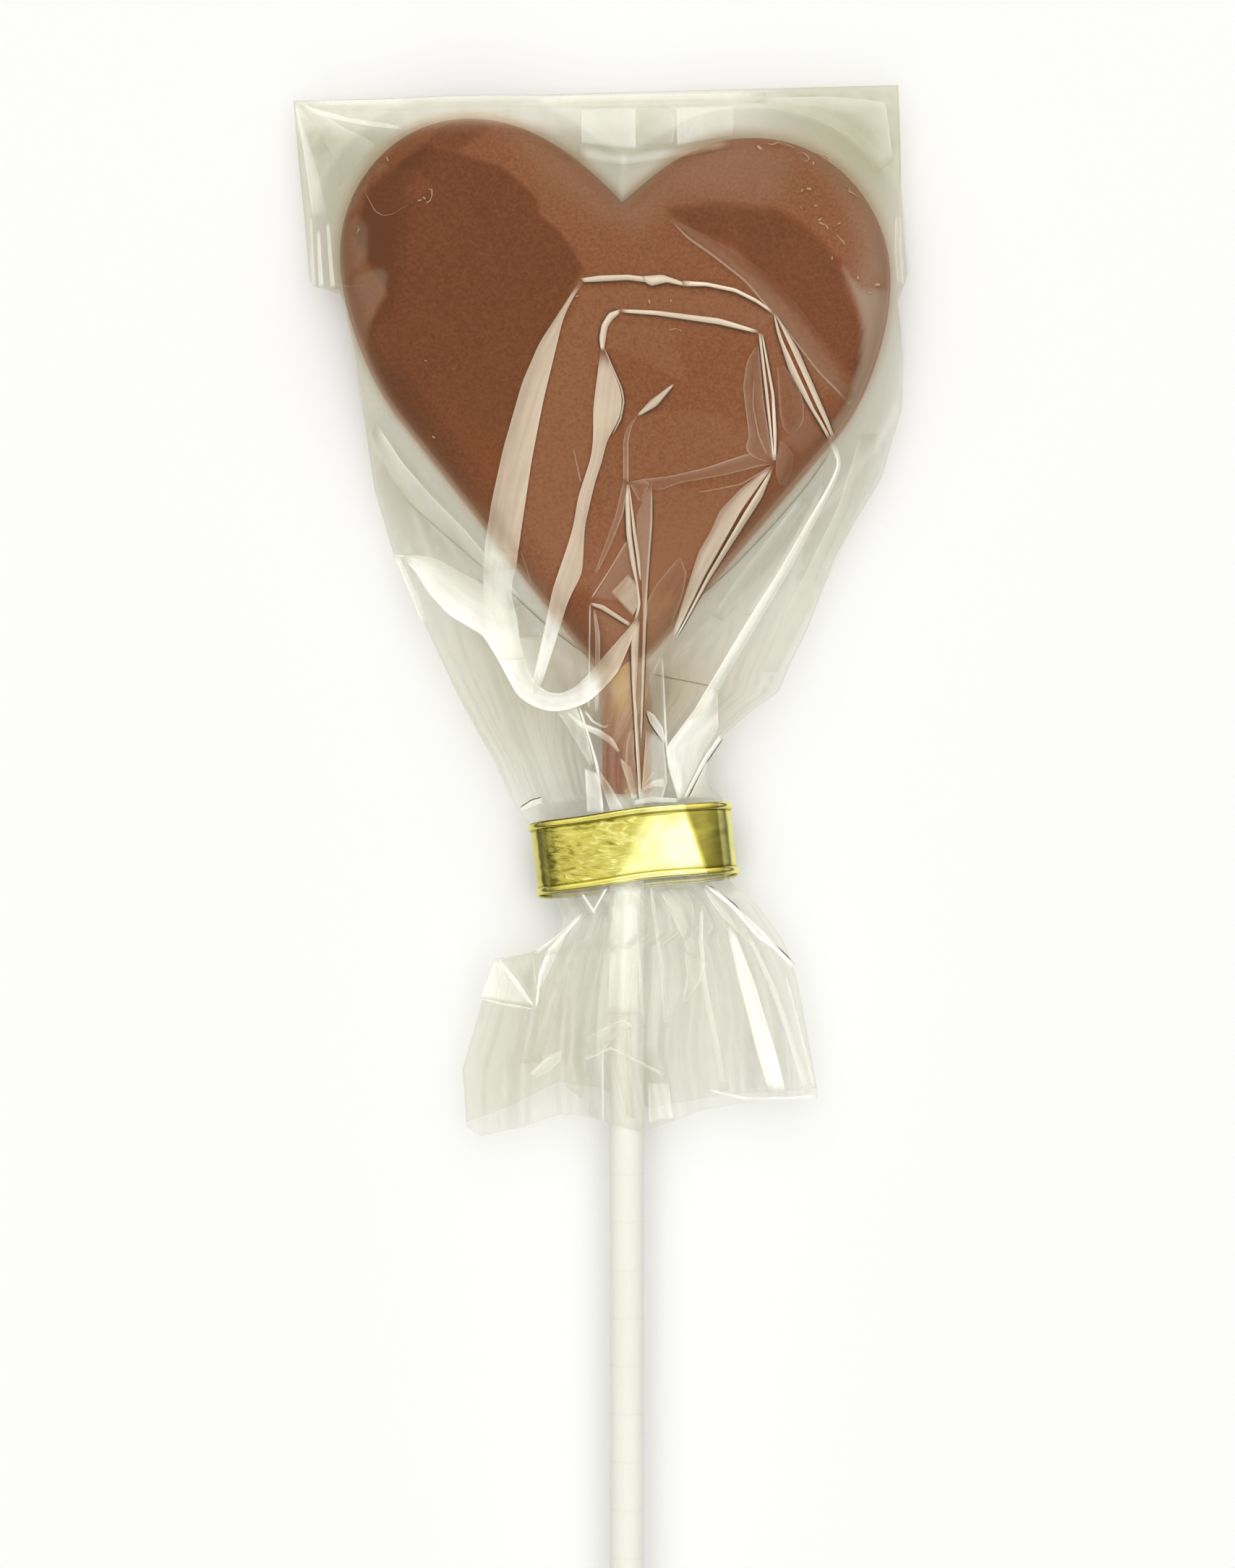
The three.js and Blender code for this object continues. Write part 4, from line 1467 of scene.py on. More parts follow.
@dataclass
class GoldBand:
    """The flattened gold tie: a strip with beaded edges, lapped at the back.

    strip is the strip's thickness, bead the radius of its beads, and lean and pitch how far it shears
    and tips, per millimetre.
    """

    centre: Point = (0.95, -20.55)
    lift: float = 5.3
    half_width: float = 13.0
    half_depth: float = 3.8
    squareness: float = 2.8
    height: float = 9.2
    strip: float = 0.34
    bead: float = 0.36
    lean: float = 0.16
    pitch: float = 0.19
    turn: float = math.radians(6.6)
    start: float = -0.95
    overlap: float = 0.31
    # Painted reflections: how bright the foil is along the band, its glint and its dark facets.
    left_shade: float = 0.33
    right_more: float = 0.38
    middle_more: float = 0.12
    glint: Point = (6.4, -0.4)
    glint_more: float = 0.32
    right_dark_reflection: float = 0.12
    left_dark_reflection: float = 0.14
    bead_at: float = 0.925
    groove_at: float = 0.825
    groove_depth: float = 0.10
    lap_gap: float = 0.08
    columns: int = 320
    rows: int = 72

    def shade(self, x: Array, up: Array) -> Array:
        """The painted reflections and highlight: how bright the foil looks, from 0 for olive to 1 for
        nearly white, along and up the band.

        Args:
            x: millimetres along the band.
            up: millimetres up the band.

        Returns:
            One brightness for each place.
        """
        lean = up / (self.height / 2.0)
        shade = self.left_shade + self.right_more * ease(-1.3, 1.6, x - 3.0 * lean)
        shade += self.middle_more * ease(-9.0, 1.0, x)
        aside, above = (x - self.glint[0]) / 2.2, (up - self.glint[1]) / 2.6
        shade += self.glint_more * np.exp(-(aside**2) - above**2)
        first = ease(7.6, 8.6, x + 1.0 * lean) * ease(11.6, 11.2, x)
        shade += (self.right_dark_reflection - shade) * first
        last = ease(-12.3, -11.9, x) * ease(-9.6, -11.4, x + 0.4 * lean)
        shade += (self.left_dark_reflection - shade) * last
        # Painted shade and reflection at the ends, on the beads, in the grooves and on the top bead's
        # face.
        ends = ease(11.2, 11.6, np.abs(x))
        shade += (np.where(x > 0.0, 0.62, 0.5) - shade) * ends
        bead = ease(0.84, 0.88, np.abs(lean))
        shade += (np.clip(shade, 0.3, 0.75) + 0.08 - shade) * bead
        groove = np.exp(-(((np.abs(lean) - self.groove_at) / 0.035) ** 2))
        outer = ease(0.95, 0.99, lean) * ease(2.0, -5.0, x)
        return shade * (1.0 - groove) - 0.5 * outer

    def build(self) -> bpy.types.Object:
        """Makes the band from one long sheet bent round the neck.

        Returns:
            The piece.
        """
        mesh = Workbench.start("shade", "crinkle")
        vertices, shares = Workbench.sheet(mesh, self.columns, self.rows)
        angle = self.start + shares[:, 0] * (2.0 * math.pi + self.overlap)
        spread = np.interp(shares[:, 1], (0.0, 0.28, 0.72, 1.0), (-1.0, -0.8, 0.8, 1.0))
        up = spread * self.height / 2.0
        power = 2.0 / self.squareness
        cos, sin = np.cos(angle), np.sin(angle)
        x = self.half_width * np.sign(cos) * np.abs(cos) ** power
        z = self.half_depth * np.sign(sin) * np.abs(sin) ** power
        edge = np.abs(spread)
        from_bead = (edge - self.bead_at) * self.height / 2.0
        bead = np.sqrt(np.clip(self.bead**2 - from_bead**2, 0.0, None)) * 0.95
        groove = -self.groove_depth * np.exp(-(((edge - self.groove_at) / 0.018) ** 2))
        ripple = Crumple(31, 3.2, 12).height(np.stack([x * 1.0, up * 1.7], axis=1))
        broad = Crumple(33, 11.0, 6).height(np.stack([x, up], axis=1))
        rough = ease(8.0, -6.0, x)
        body = ease(0.86, 0.78, edge)
        out = bead + groove + (0.05 * ripple * (0.2 + rough) + 0.08 * broad) * (0.3 + 0.7 * body)
        Workbench.paint_all(
            mesh,
            vertices,
            shade=self.shade(x, up),
            crinkle=ease(1.4, -2.4, x - 2.0 * up / (self.height / 2.0)) * ease(-12.5, -10.0, x) * body,
        )
        lap = (self.strip + self.lap_gap) * ease(0.86, 0.97, shares[:, 0])
        slope_x, slope_z = x / self.half_width**2, z / self.half_depth**2
        length = np.hypot(slope_x, slope_z) + TINY
        x = x + (out + lap) * slope_x / length
        z = z + (out + lap) * slope_z / length
        y = up + self.lean * z + 0.12 * np.sin(x * 0.35 + 1.0)
        z = z + self.pitch * up
        cos_turn, sin_turn = math.cos(self.turn), math.sin(self.turn)
        Workbench.put(
            vertices,
            self.centre[0] + x * cos_turn - y * sin_turn,
            self.centre[1] + x * sin_turn + y * cos_turn,
            self.lift + z,
        )
        bmesh.ops.recalc_face_normals(mesh, faces=mesh.faces)
        return Workbench.settle(
            "gold_band", mesh, [GoldFoil().material()], "gold_foil", "gold_tie", wall=self.strip
        )


class Side(Enum):
    """Where a fold has its painted dark line."""

    NONE = 0
    LEFT = -1
    RIGHT = 1


@dataclass(frozen=True)
class Fold:
    """One fold or facet of the film, between two rails in the plan.

    How milky it is at its left rail, its middle and its right rail comes first, the light that it
    reflects painted in as milk; its rim is how much more at both rails, a painted highlight, and its
    fade what these are multiplied by at its start and its end.
    """

    name: str
    veil_and_highlight: tuple[float, float, float]
    left: Sequence[Point]
    right: Sequence[Point]
    rim: float = 0.1
    dark: Side = Side.NONE
    fade: tuple[float, float] = (1.0, 1.0)
    lift: float = 0.3

    def size(self) -> tuple[float, float]:
        """Its length and its greatest width.

        Returns:
            Both, in millimetres.
        """
        places = np.linspace(0.0, 1.0, 60)
        left, right = soft_line(self.left, places), soft_line(self.right, places)
        length = np.linalg.norm(np.diff(left, axis=0), axis=1).sum()
        return float(length), float(np.linalg.norm(right - left, axis=1).max())


FILM_PAINT: tuple[str, ...] = ("haze", "warm", "tint", "loose", "pleated", "lane", "run")


def over_neck(plan: Array) -> Array:
    """How far each place lies over the chocolate neck."""
    x, y = plan[:, 0] + 0.2, plan[:, 1]
    return ease(4.0, 2.6, np.abs(x)) * ease(-14.5, -12.0, y) * ease(6.0, 3.0, y)


def over_chocolate(plan: Array, depth: Array) -> Array:
    """How far each place lies over the heart or its neck, where film looks warmer."""
    return np.maximum(ease(-1.4, 0.6, depth), over_neck(plan))


@dataclass
class FilmFolds:
    """A group of folds that lie on the front sheet, the light that they reflect painted in as milk."""

    name: str
    folds: Sequence[Fold]
    bag: BagForm = field(default_factory=BagForm)
    rest: float = 0.10
    rim_width: float = 0.17
    line_width: float = 0.17
    wall: float = 0.04
    face_length: float = 0.45
    face_width: float = 0.3
    streak_width: float = 0.8
    streak_length: float = 12.0
    next_streaks: float = 7.3

    def strip(self, mesh: bmesh.types.BMesh, fold: Fold, number: int) -> None:
        """Adds one fold to the mesh.

        Args:
            mesh: the group's mesh.
            fold: the fold.
            number: its number, which moves its streaks.
        """
        length, width = fold.size()
        LOG.debug("%s: %.1f mm long", fold.name, length)
        rows = int(np.clip(length / self.face_length, 10, 140))
        columns = int(np.clip(width / self.face_width, 5, 16))
        vertices, shares = Workbench.sheet(mesh, columns, rows)
        across, up = 0.5 - 0.5 * np.cos(math.pi * shares[:, 0]), shares[:, 1]
        left, right = soft_line(fold.left, up), soft_line(fold.right, up)
        plan = left + (right - left) * across[:, None]
        gap = np.linalg.norm(right - left, axis=1)
        ridge = 1.0 - np.abs(2.0 * across - 1.0)
        rise = self.rest + 0.8 * fold.lift * ridge**0.8 * np.clip(gap / 1.2, 0.15, 1.0)
        depth = Region(self.bag.heart.outline()).depth(plan)
        height = self.bag.front(plan, depth) + rise
        Workbench.put(vertices, *plan.T, height)
        least = 0.15 if length > 18.0 else 0.45
        ends = least + (1.0 - least) * ease(0.0, 0.07, up) * ease(1.0, 0.93, up)
        edge = np.minimum(across, 1.0 - across) * gap
        # Painted highlight: the light that a fold reflects is painted in as milk, whitest at its rim.
        haze = np.interp(across, (0.0, 0.5, 1.0), fold.veil_and_highlight)
        haze = haze + fold.rim * np.exp(-((edge / self.rim_width) ** 2))
        haze *= (fold.fade[0] + (fold.fade[1] - fold.fade[0]) * up) * ends
        Workbench.paint_all(
            mesh,
            vertices,
            haze=np.clip(haze, 0.0, 0.97),
            warm=over_chocolate(plan, depth),
            tint=0.17,
            loose=0.6 - 0.45 * over_chocolate(plan, depth),
            pleated=0.0,
            lane=across * gap / self.streak_width + self.next_streaks * number,
            run=up * length / self.streak_length,
        )

    def shade_line(self, mesh: bmesh.types.BMesh, fold: Fold) -> None:
        """Adds the thin painted dark line, a painted shade, along one side of a fold.

        Args:
            mesh: the group's mesh.
            fold: the fold.
        """
        length, _ = fold.size()
        rows = int(np.clip(length / 0.5, 10, 120))
        vertices, shares = Workbench.sheet(mesh, 2, rows)
        across, up = shares[:, 0], shares[:, 1]
        points = fold.left if fold.dark is Side.LEFT else fold.right
        middle = soft_line(points, up)
        other = soft_line(fold.right if fold.dark is Side.LEFT else fold.left, up)
        out = beside_line(points, up, 0.01)
        toward = np.sign(((other - middle) * out).sum(1))
        out *= -np.where(toward == 0.0, 1.0, toward)[:, None]
        fade = ease(0.0, 0.08, up) * ease(1.0, 0.92, up)
        plan = middle + out * (across * self.line_width * (0.4 + 0.6 * fade))[:, None]
        Workbench.put(vertices, *plan.T, self.bag.front(plan) + self.rest * 0.7)
        dark = fade * min(fold.fade[0], 1.0)
        plain = dict.fromkeys(("tint", "loose", "pleated", "lane", "run"), 0.0)
        Workbench.paint_all(mesh, vertices, haze=dark, warm=1.0, **plain)
        for face in {f for v in vertices for f in v.link_faces}:
            face.material_index = 1

    def build(self, finishes: Sequence[bpy.types.Material]) -> bpy.types.Object:
        """Makes all folds of the group as one piece of thin film.

        Args:
            finishes: the film and the dark line.

        Returns:
            The piece.
        """
        mesh = Workbench.start(*FILM_PAINT)
        for number, fold in enumerate(self.folds):
            self.strip(mesh, fold, number)
            if fold.dark is not Side.NONE:
                self.shade_line(mesh, fold)
        for face in mesh.faces:
            face.normal_update()
        under = [f for f in mesh.faces if f.normal.z < 0.0]
        bmesh.ops.reverse_faces(mesh, faces=under)
        return Workbench.settle(
            self.name, mesh, finishes, "clear_film", "film_bag", wall=self.wall
        )


@dataclass
class FilmBag:
    """The bag's two sheets, tied below the heart and open at the hem.

    The hazes say how milky the front sheet is at its places, partly painted light that lifts the shade
    beside the heart, at its cleft and round the stick, and stands for the reflection along its rim;
    the tints say how strongly it is tinted there, and the streaks how much its pleats show.
    """

    form: BagForm = field(default_factory=BagForm)
    wall: float = 0.05
    clear_haze: float = 0.004
    loose_haze: float = 0.03
    top_haze: float = 0.05
    bend_haze: float = 0.12
    beside_haze: float = 0.15
    low_haze: float = 0.13
    left_haze: float = 0.14
    neck_haze: float = 0.16
    seam_haze: float = 0.36
    warm_haze: float = 0.14
    cleft_haze: float = 0.12
    gathered_haze: float = 0.10
    skirt_haze: float = 0.05
    stick_haze: float = 0.26
    back_haze: float = 0.04
    skirt_streaks: float = 0.07
    right_streaks: float = 0.03
    neck_streaks: float = 0.1
    side_tint: float = 0.42
    right_less_tint: float = 0.31
    top_left_tint: float = 0.16
    top_right_tint: float = 0.72
    skirt_tint: float = 0.22
    low_tint: float = 0.28
    rim_tint: float = 0.3
    seam_tint: float = 0.34

    def haze(self, plan: Array, depth: Array) -> Array:
        """How milky the front sheet is at each place, with painted light that lifts shade and stands for
        reflections.

        Args:
            plan: places in the plan, one row each.
            depth: how deep inside the heart's outline.

        Returns:
            One amount for each, from 0 to 1.
        """
        x, y = plan.T
        height = self.form.axis_height(plan)
        low = ease(52.0, 36.0, y)
        haze = self.clear_haze + self.loose_haze * ease(0.6, -0.6, depth)
        haze += self.top_haze * ease(76.4, 76.6, height)
        # Painted reflection along the heart's outline.
        haze += self.bend_haze * np.exp(-(((depth - 0.2) / 0.8) ** 2))
        # Painted light: beside the heart the milk lifts the shade that the heart casts on the floor.
        beside = ease(-4.8, -0.9, depth) * ease(0.6, -0.4, depth)
        neck = over_neck(plan)
        left = ease(-4.0, -14.0, x)
        more = self.beside_haze + (self.low_haze + self.left_haze * left) * low
        haze += more * beside * (1.0 - neck)
        haze += self.neck_haze * neck * ease(-11.0, -5.0, y)
        haze += self.seam_haze * ease(72.5, 75.5, y) * ease(22.0, 12.0, x)
        haze += self.warm_haze * self.warm_patch(plan)
        # Painted light at the cleft, lifting its shade.
        near_cleft = np.hypot(x + 0.6, y - 68.0)
        haze += self.cleft_haze * ease(9.0, 3.0, near_cleft) * ease(0.5, -1.0, depth)
        skirt = ease(-23.0, -30.0, height)
        haze += self.gathered_haze * ease(-4.0, -14.0, height) * ease(-34.0, -26.0, height)
        haze += self.skirt_haze * skirt
        # Painted light round the stick, lifting the shade that it casts.
        near_stick = ease(10.0, 3.0, np.abs(x - 0.1))
        haze += self.stick_haze * skirt * near_stick * ease(-52.0, -40.0, height)
        return haze

    @staticmethod
    def warm_patch(plan: Array) -> Array:
        """Where the film beside the heart's tip is painted tan, for the brown light reflected from the
        chocolate.
        """
        return np.exp(-(((plan[:, 0] - 1.5) / 12.0) ** 2) - ((plan[:, 1] - 1.5) / 7.5) ** 2)

    def pleated(self, plan: Array, depth: Array) -> Array:
        """How much streaks along the bag show at each place.

        Args:
            plan: places in the plan, one row each.
            depth: how deep inside the heart's outline.

        Returns:
            One amount for each, from 0 to 1.
        """
        height = self.form.axis_height(plan)
        skirt = ease(-20.0, -28.0, height)
        calm = ease(-14.0, -19.0, plan[:, 0]) * ease(-32.0, -38.0, height)
        right = ease(0.0, 8.0, plan[:, 0]) * ease(26.0, 10.0, plan[:, 1])
        neck = ease(-2.0, -14.0, height) * ease(8.0, 3.0, np.abs(plan[:, 0]))
        free = ease(0.0, -1.5, depth)
        streaks = self.skirt_streaks * skirt * (1.0 - 0.85 * calm) + self.right_streaks * right
        return (streaks + self.neck_streaks * neck * (1.0 - skirt)) * free

    def tint(self, plan: Array, depth: Array) -> Array:
        """How strongly the film is tinted at each place: most beside the heart.

        Args:
            plan: places in the plan, one row each.
            depth: how deep inside the heart's outline.

        Returns:
            One amount for each, from 0 to 1.
        """
        x, y = plan.T
        beside = ease(8.0, 30.0, y) * (self.side_tint - self.right_less_tint * ease(5.0, 28.0, x))
        left = self.top_left_tint * ease(60.0, 75.0, y) * ease(-10.0, -30.0, x)
        right = self.top_right_tint * ease(56.0, 72.0, y) * ease(12.0, 28.0, x)
        skirt = self.skirt_tint * ease(-28.0, -36.0, y) * ease(-2.0, -9.0, x)
        low = ease(-14.0, -4.0, y) * ease(14.0, 4.0, y) * ease(-10.0, -15.0, x)
        cleft = ease(12.0, 6.0, np.hypot(x + 0.6, y - 66.0))
        rim = self.rim_tint * ease(-3.6, -0.8, depth) * ease(0.6, -0.4, depth) * (1.0 - 0.6 * cleft)
        seam = self.seam_tint * ease(68.8, 70.0, y) * ease(72.6, 71.8, y)
        seam *= ease(14.0, 8.0, np.abs(x))
        tint = beside + left + right + skirt + self.low_tint * low + rim + seam
        return tint + self.warm_patch(plan)

    def sheet(self, name: str, front: bool, columns: int, rows: int) -> bpy.types.Object:
        """Makes one sheet of the bag.

        Args:
            name: the piece's name.
            front: whether it is the sheet over the heart.
            columns: faces across.
            rows: faces along.

        Returns:
            The piece.
        """
        mesh = Workbench.start(*FILM_PAINT)
        vertices, shares = Workbench.sheet(mesh, columns, rows)
        hem = self.form.front_hem if front else self.form.back_hem
        plan = self.form.plan(shares[:, 0], shares[:, 1], hem)
        depth = Region(self.form.heart.outline()).depth(plan)
        height = self.form.front(plan, depth) if front else self.form.back(plan, depth)
        fine = Crumple(17 if front else 19, 7.0, 10, 1.6).height(plan)
        free = ease(1.0, -2.5, depth)
        height += fine * (0.012 + 0.118 * free) * (1.0 if front else 0.5)
        Workbench.put(vertices, *plan.T, height)
        Workbench.paint_all(
            mesh,
            vertices,
            haze=self.haze(plan, depth) if front else self.back_haze,
            warm=np.maximum(over_chocolate(plan, depth), 0.75 * self.warm_patch(plan)),
            tint=self.tint(plan, depth),
            loose=0.05 + 0.95 * free,
            pleated=self.pleated(plan, depth) if front else 0.0,
            lane=shares[:, 0] * 30.0,
            run=shares[:, 1] * 7.0,
        )
        bmesh.ops.recalc_face_normals(mesh, faces=mesh.faces)
        finish = ClearFilm(name).material()
        return Workbench.settle(name, mesh, [finish], "clear_film", "film_bag", wall=self.wall)


HEART_FOLDS: tuple[Fold, ...] = (
    Fold("outer_left", (0.55, 0.7, 0.8), ((-6, 53.8), (-11.4, 45.5), (-13.6, 40.5), (-16.1, 31.8),
        (-17.6, 25), (-18.6, 19.5), (-18.9, 15.6)), ((-5.6, 53.4), (-7, 51.5), (-8.3, 48.7),
        (-10.9, 37.9), (-12.4, 30.2), (-14.5, 16.2)), rim=0.08, lift=0.5),
    Fold("outer_left_low", (0.4, 0.75, 0.55), ((-18.6, 18.9), (-18.9, 15.6), (-18.8, 10.8), (-17.8, 6.4),
        (-16.8, 4.2)), ((-14.1, 18.9), (-14.5, 16.2), (-15, 14.7), (-15.1, 12.8), (-14.4, 9.8),
        (-13.9, 6.4), (-13.3, 4.5)), rim=0.04, fade=(1, 0.6), lift=0.5),
    Fold("under_tip_loop", (0.95, 0.76, 0.5), ((-18.8, 9.2), (-17.8, 6), (-14.4, -0.3), (-12.6, -1.6),
        (-10.3, -2.4), (-7.9, -2.3), (-5.2, -1.3), (-3.1, 0.5), (-1.2, 2.6), (0.4, 6.3), (1.7, 10.3)),
        ((-14.5, 9.6), (-14.1, 6.6), (-13.2, 3.5), (-12.1, 1.4), (-10.4, 0.1), (-8.6, -0.1), (-6.7, 0.8),
        (-4.7, 2.8), (0.4, 8.6), (1.6, 10.3)), rim=0.12, fade=(0.8, 1), lift=0.4),
    Fold("inner_left", (0.8, 0.74, 0.7), ((-3.4, 44.8), (-4.4, 37), (-4.4, 32.7), (-4.7, 30.5),
        (-6.4, 25.3), (-6.9, 22), (-7.6, 19.5), (-9.7, 13.4), (-12.7, -0.1)), ((-3, 44.8), (-0.8, 39.4),
        (-0.6, 37.9), (-0.9, 35.8), (-2.7, 32.6), (-3.2, 30.2), (-4.2, 27.3), (-5.5, 21.6), (-5.8, 15.5),
        (-7.6, 12.1), (-11.6, -0.1)), lift=0.5),
    Fold("inner_left_edge", (0.9, 0.9, 0.5), ((-3, 44.8), (-0.8, 39.6), (-0.5, 37.9), (-0.9, 35.7),
        (-1.9, 33.6)), ((-2.9, 44.8), (-0.6, 39.6), (-0.3, 37.9), (-0.7, 35.6), (-1.8, 33.5)),
        dark=Side.RIGHT, fade=(0.9, 0.6)),
    Fold("inner_shoulder", (0.95, 0.9, 0.6), ((-0.9, 49.9), (-2.4, 49.4), (-3.3, 47.9), (-3.6, 46.2),
        (-3.4, 44.5)), ((-0.9, 49.4), (-1.8, 48.6), (-2.5, 47.6), (-3, 44.5)), dark=Side.LEFT, lift=0.5),
    Fold("inner_top", (0.95, 0.95, 0.85), ((-1, 49.9), (3.9, 49.7), (12, 48.7), (17.2, 47.1)),
        ((-1, 49.5), (3.9, 49.1), (12, 47.9), (17.2, 46.7)), dark=Side.RIGHT, lift=0.6),
    Fold("outer_top_left", (0.95, 0.9, 0.7), ((-6, 53.9), (-3.5, 54.3), (0.2, 54.4), (2.5, 54.1)),
        ((-5.8, 53.4), (0.2, 53.7), (2.5, 53.4)), dark=Side.RIGHT, lift=0.6),
    Fold("outer_top_middle", (0.95, 0.95, 0.8), ((2, 54.2), (4.6, 54.4), (7.4, 53.4)), ((2.1, 53.6),
        (3.1, 52.9), (5.2, 53.4), (7.5, 52.9)), dark=Side.RIGHT, lift=0.6),
    Fold("outer_top_right", (0.95, 0.95, 0.8), ((7.2, 53.6), (10.3, 53.4), (14.1, 52.6), (16.9, 51.2),
        (18.9, 49.7)), ((7.3, 52.9), (10.3, 52.9), (14.1, 52.1), (16.9, 50.7), (18.8, 49.4)),
        dark=Side.RIGHT, lift=0.6),
    Fold("outer_right_a", (0.6, 0.8, 0.9), ((19, 49.6), (19.5, 46.9), (21.1, 41.9), (23.3, 37.9),
        (26.4, 32.9)), ((19.1, 49.6), (20.2, 46), (24.4, 36.9), (26.8, 33)),
        rim=0.15, dark=Side.LEFT, lift=0.5),
    Fold("outer_right_b", (0.9, 0.8, 0.6), ((19.2, 49.5), (24.9, 36.9), (26.9, 33.1)), ((19.4, 49.3),
        (22.3, 44.6), (27.2, 33.3)), rim=0.15, dark=Side.RIGHT, lift=0.5),
    Fold("outer_right_tail", (0.8, 0.5, 0.3), ((26.1, 33.5), (27.8, 30.2), (26.5, 27.3), (19.6, 15.5),
        (16.7, 11), (7.9, -3.7)), ((26.8, 33.7), (28, 31), (28.2, 30.1), (27.4, 27.6), (21.8, 16.8),
        (10.3, -2.5)), rim=0.2, fade=(1.1, 0.9), lift=0.5),
    Fold("inner_right_a", (0.7, 0.95, 1), ((17.1, 46.8), (19, 30.2)), ((17.4, 46.8), (18.4, 38.8),
        (19.2, 30.2)), dark=Side.LEFT, lift=0.5),
    Fold("inner_right_b", (1, 0.95, 0.7), ((17.5, 46.6), (18.8, 38.8), (19.2, 30.2)), ((17.7, 46.6),
        (19.2, 38.8), (19.5, 33.9), (19.4, 30.2)), dark=Side.RIGHT, lift=0.5),
    Fold("right_leaf", (0.22, 0.14, 0.22), ((17, 45.5), (15.6, 43.1), (15.1, 39.8), (15.9, 33.1),
        (15.4, 32.2), (15.7, 31.2), (16.4, 30.6), (18.9, 29.8)), ((17.1, 45.5), (17.8, 37.9),
        (19.1, 29.8)), rim=0.2, fade=(0.8, 1.1)),
    Fold("right_leaf_line", (0.3, 0.4, 0.3), ((16.4, 40.7), (16.3, 37.4), (17, 33.6), (18.1, 31)),
        ((16.6, 40.7), (16.5, 37.4), (17.2, 33.6), (18.3, 31)), fade=(0.7, 1.1), lift=0.2),
    Fold("leaf_beyond", (0.1, 0.07, 0.1), ((19.5, 42.6), (19.9, 36.3), (20.4, 34.2), (21.4, 33.6)),
        ((20.4, 42.6), (22.4, 39.8), (23.1, 37.4), (23, 35.2), (21.9, 33.7)), rim=0.2, lift=0.25),
    Fold("grey_facet", (0.22, 0.18, 0.1), ((20, 32.9), (19.4, 30.3), (19.4, 28.4), (19.9, 27.1)),
        ((20.2, 32.9), (21.7, 31), (21.5, 29.1), (20.7, 27.1)), rim=0.08, fade=(1, 0.8), lift=0.25),
    Fold("lower_right_a", (0.35, 0.75, 0.95), ((18.8, 29.6), (14.8, 26.6), (12, 23.6), (10.9, 21),
        (9.3, 18.3), (5.8, 7.2)), ((19, 29.5), (15, 23.9), (12.4, 19.5), (10.1, 15.5), (6, 7.1)),
        fade=(0.9, 1.05), lift=0.6),
    Fold("lower_right_slit", (0.9, 0.9, 0.9), ((14.9, 24), (10, 15.5), (6.1, 7.3)), ((15, 23.9),
        (10.2, 15.4), (6.2, 7.2)), dark=Side.RIGHT, fade=(0.8, 1), lift=0.2),
    Fold("lower_right_b", (0.95, 0.75, 0.6), ((19, 29.4), (15.3, 23.5), (10.4, 15.1), (7.6, 9.4),
        (6.2, 7.1)), ((19.1, 29.3), (17.6, 25.4), (10.7, 14.7), (6.4, 7)),
        rim=0.15, dark=Side.RIGHT, fade=(0.9, 1.05), lift=0.5),
    Fold("leaf_low", (0.14, 0.08, 0.14), ((6.8, 17.6), (3.8, 14.1), (2.6, 11.8), (2.5, 9.2)), ((7, 17.6),
        (7.8, 15.5), (7.2, 12.5), (5.9, 9.2)), rim=0.22),
    Fold("sheaf_upper", (0.2, 0.2, 0.3), ((0.7, 35.5), (-0.1, 34.3), (-0.5, 32.6), (-0.5, 27.6)),
        ((1.4, 36.1), (0.5, 34.3), (0.2, 32.6), (0.2, 27.3)), rim=0.25, fade=(0.8, 1.1)),
    Fold("centre_rays_a", (0.2, 0.22, 0.3), ((-0.5, 27.6), (-1.5, 23.1), (-4.3, 15.4)), ((0.2, 27.1),
        (-0.5, 23.1), (-2, 19.3), (-4, 15.2)), rim=0.2, fade=(1, 0.7)),
    Fold("tip_ray", (0.4, 0.45, 0.4), ((-0.1, 19.8), (-2.3, 16), (-4.7, 12.4)), ((0.2, 19.7),
        (-4.5, 12.2)), fade=(0.8, 1), lift=0.2),
    Fold("low_left_facet", (0.22, 0.2, 0.15), ((0.2, 19.7), (-4.3, 12.2)), ((0.4, 19.7), (1.6, 16),
        (1.6, 11.5)), rim=0.05, lift=0.2),
    Fold("tan_facet", (0.5, 0.55, 0.5), ((0.2, 15.4), (-2.1, 13)), ((1.4, 14.1), (1.7, 11.7),
        (0.7, 9.9)), rim=0.12),
    Fold("short_crease", (0.6, 0.8, 0.6), ((-4.7, 11.7), (-3.1, 11.4), (0.5, 9)), ((-4.7, 11.4),
        (-3.3, 10.8), (0.3, 8.6)), dark=Side.RIGHT, fade=(0.9, 1), lift=0.4),
    Fold("left_uprights", (0.6, 0.6, 0.5), ((-4.9, 11.5), (-5.1, -1.9)), ((-4.7, 11.5), (-4.9, -1.9)),
        fade=(1, 0.8)),
    Fold("left_uprights_b", (0.4, 0.35, 0.4), ((-4.4, 10.8), (-4.1, 7.5), (-4.2, -2.5)), ((-4.1, 10.8),
        (-3.5, 7.5), (-3.5, 2.8), (-3.8, -2.5)), rim=0.15, fade=(1, 0.8)),
    Fold("spindle", (0.6, 0.95, 0.8), ((1.3, 36.1), (3, 38), (6, 40.2)), ((1.6, 36), (3.9, 37.3),
        (6.1, 40)), dark=Side.RIGHT, fade=(0.9, 0.8), lift=0.5),
    Fold("thin_crease", (0.25, 0.3, 0.25), ((-7.1, 31.8), (-6.1, 27.3)), ((-6.9, 31.8), (-5.9, 27.3)),
        fade=(0.7, 1), lift=0.2),
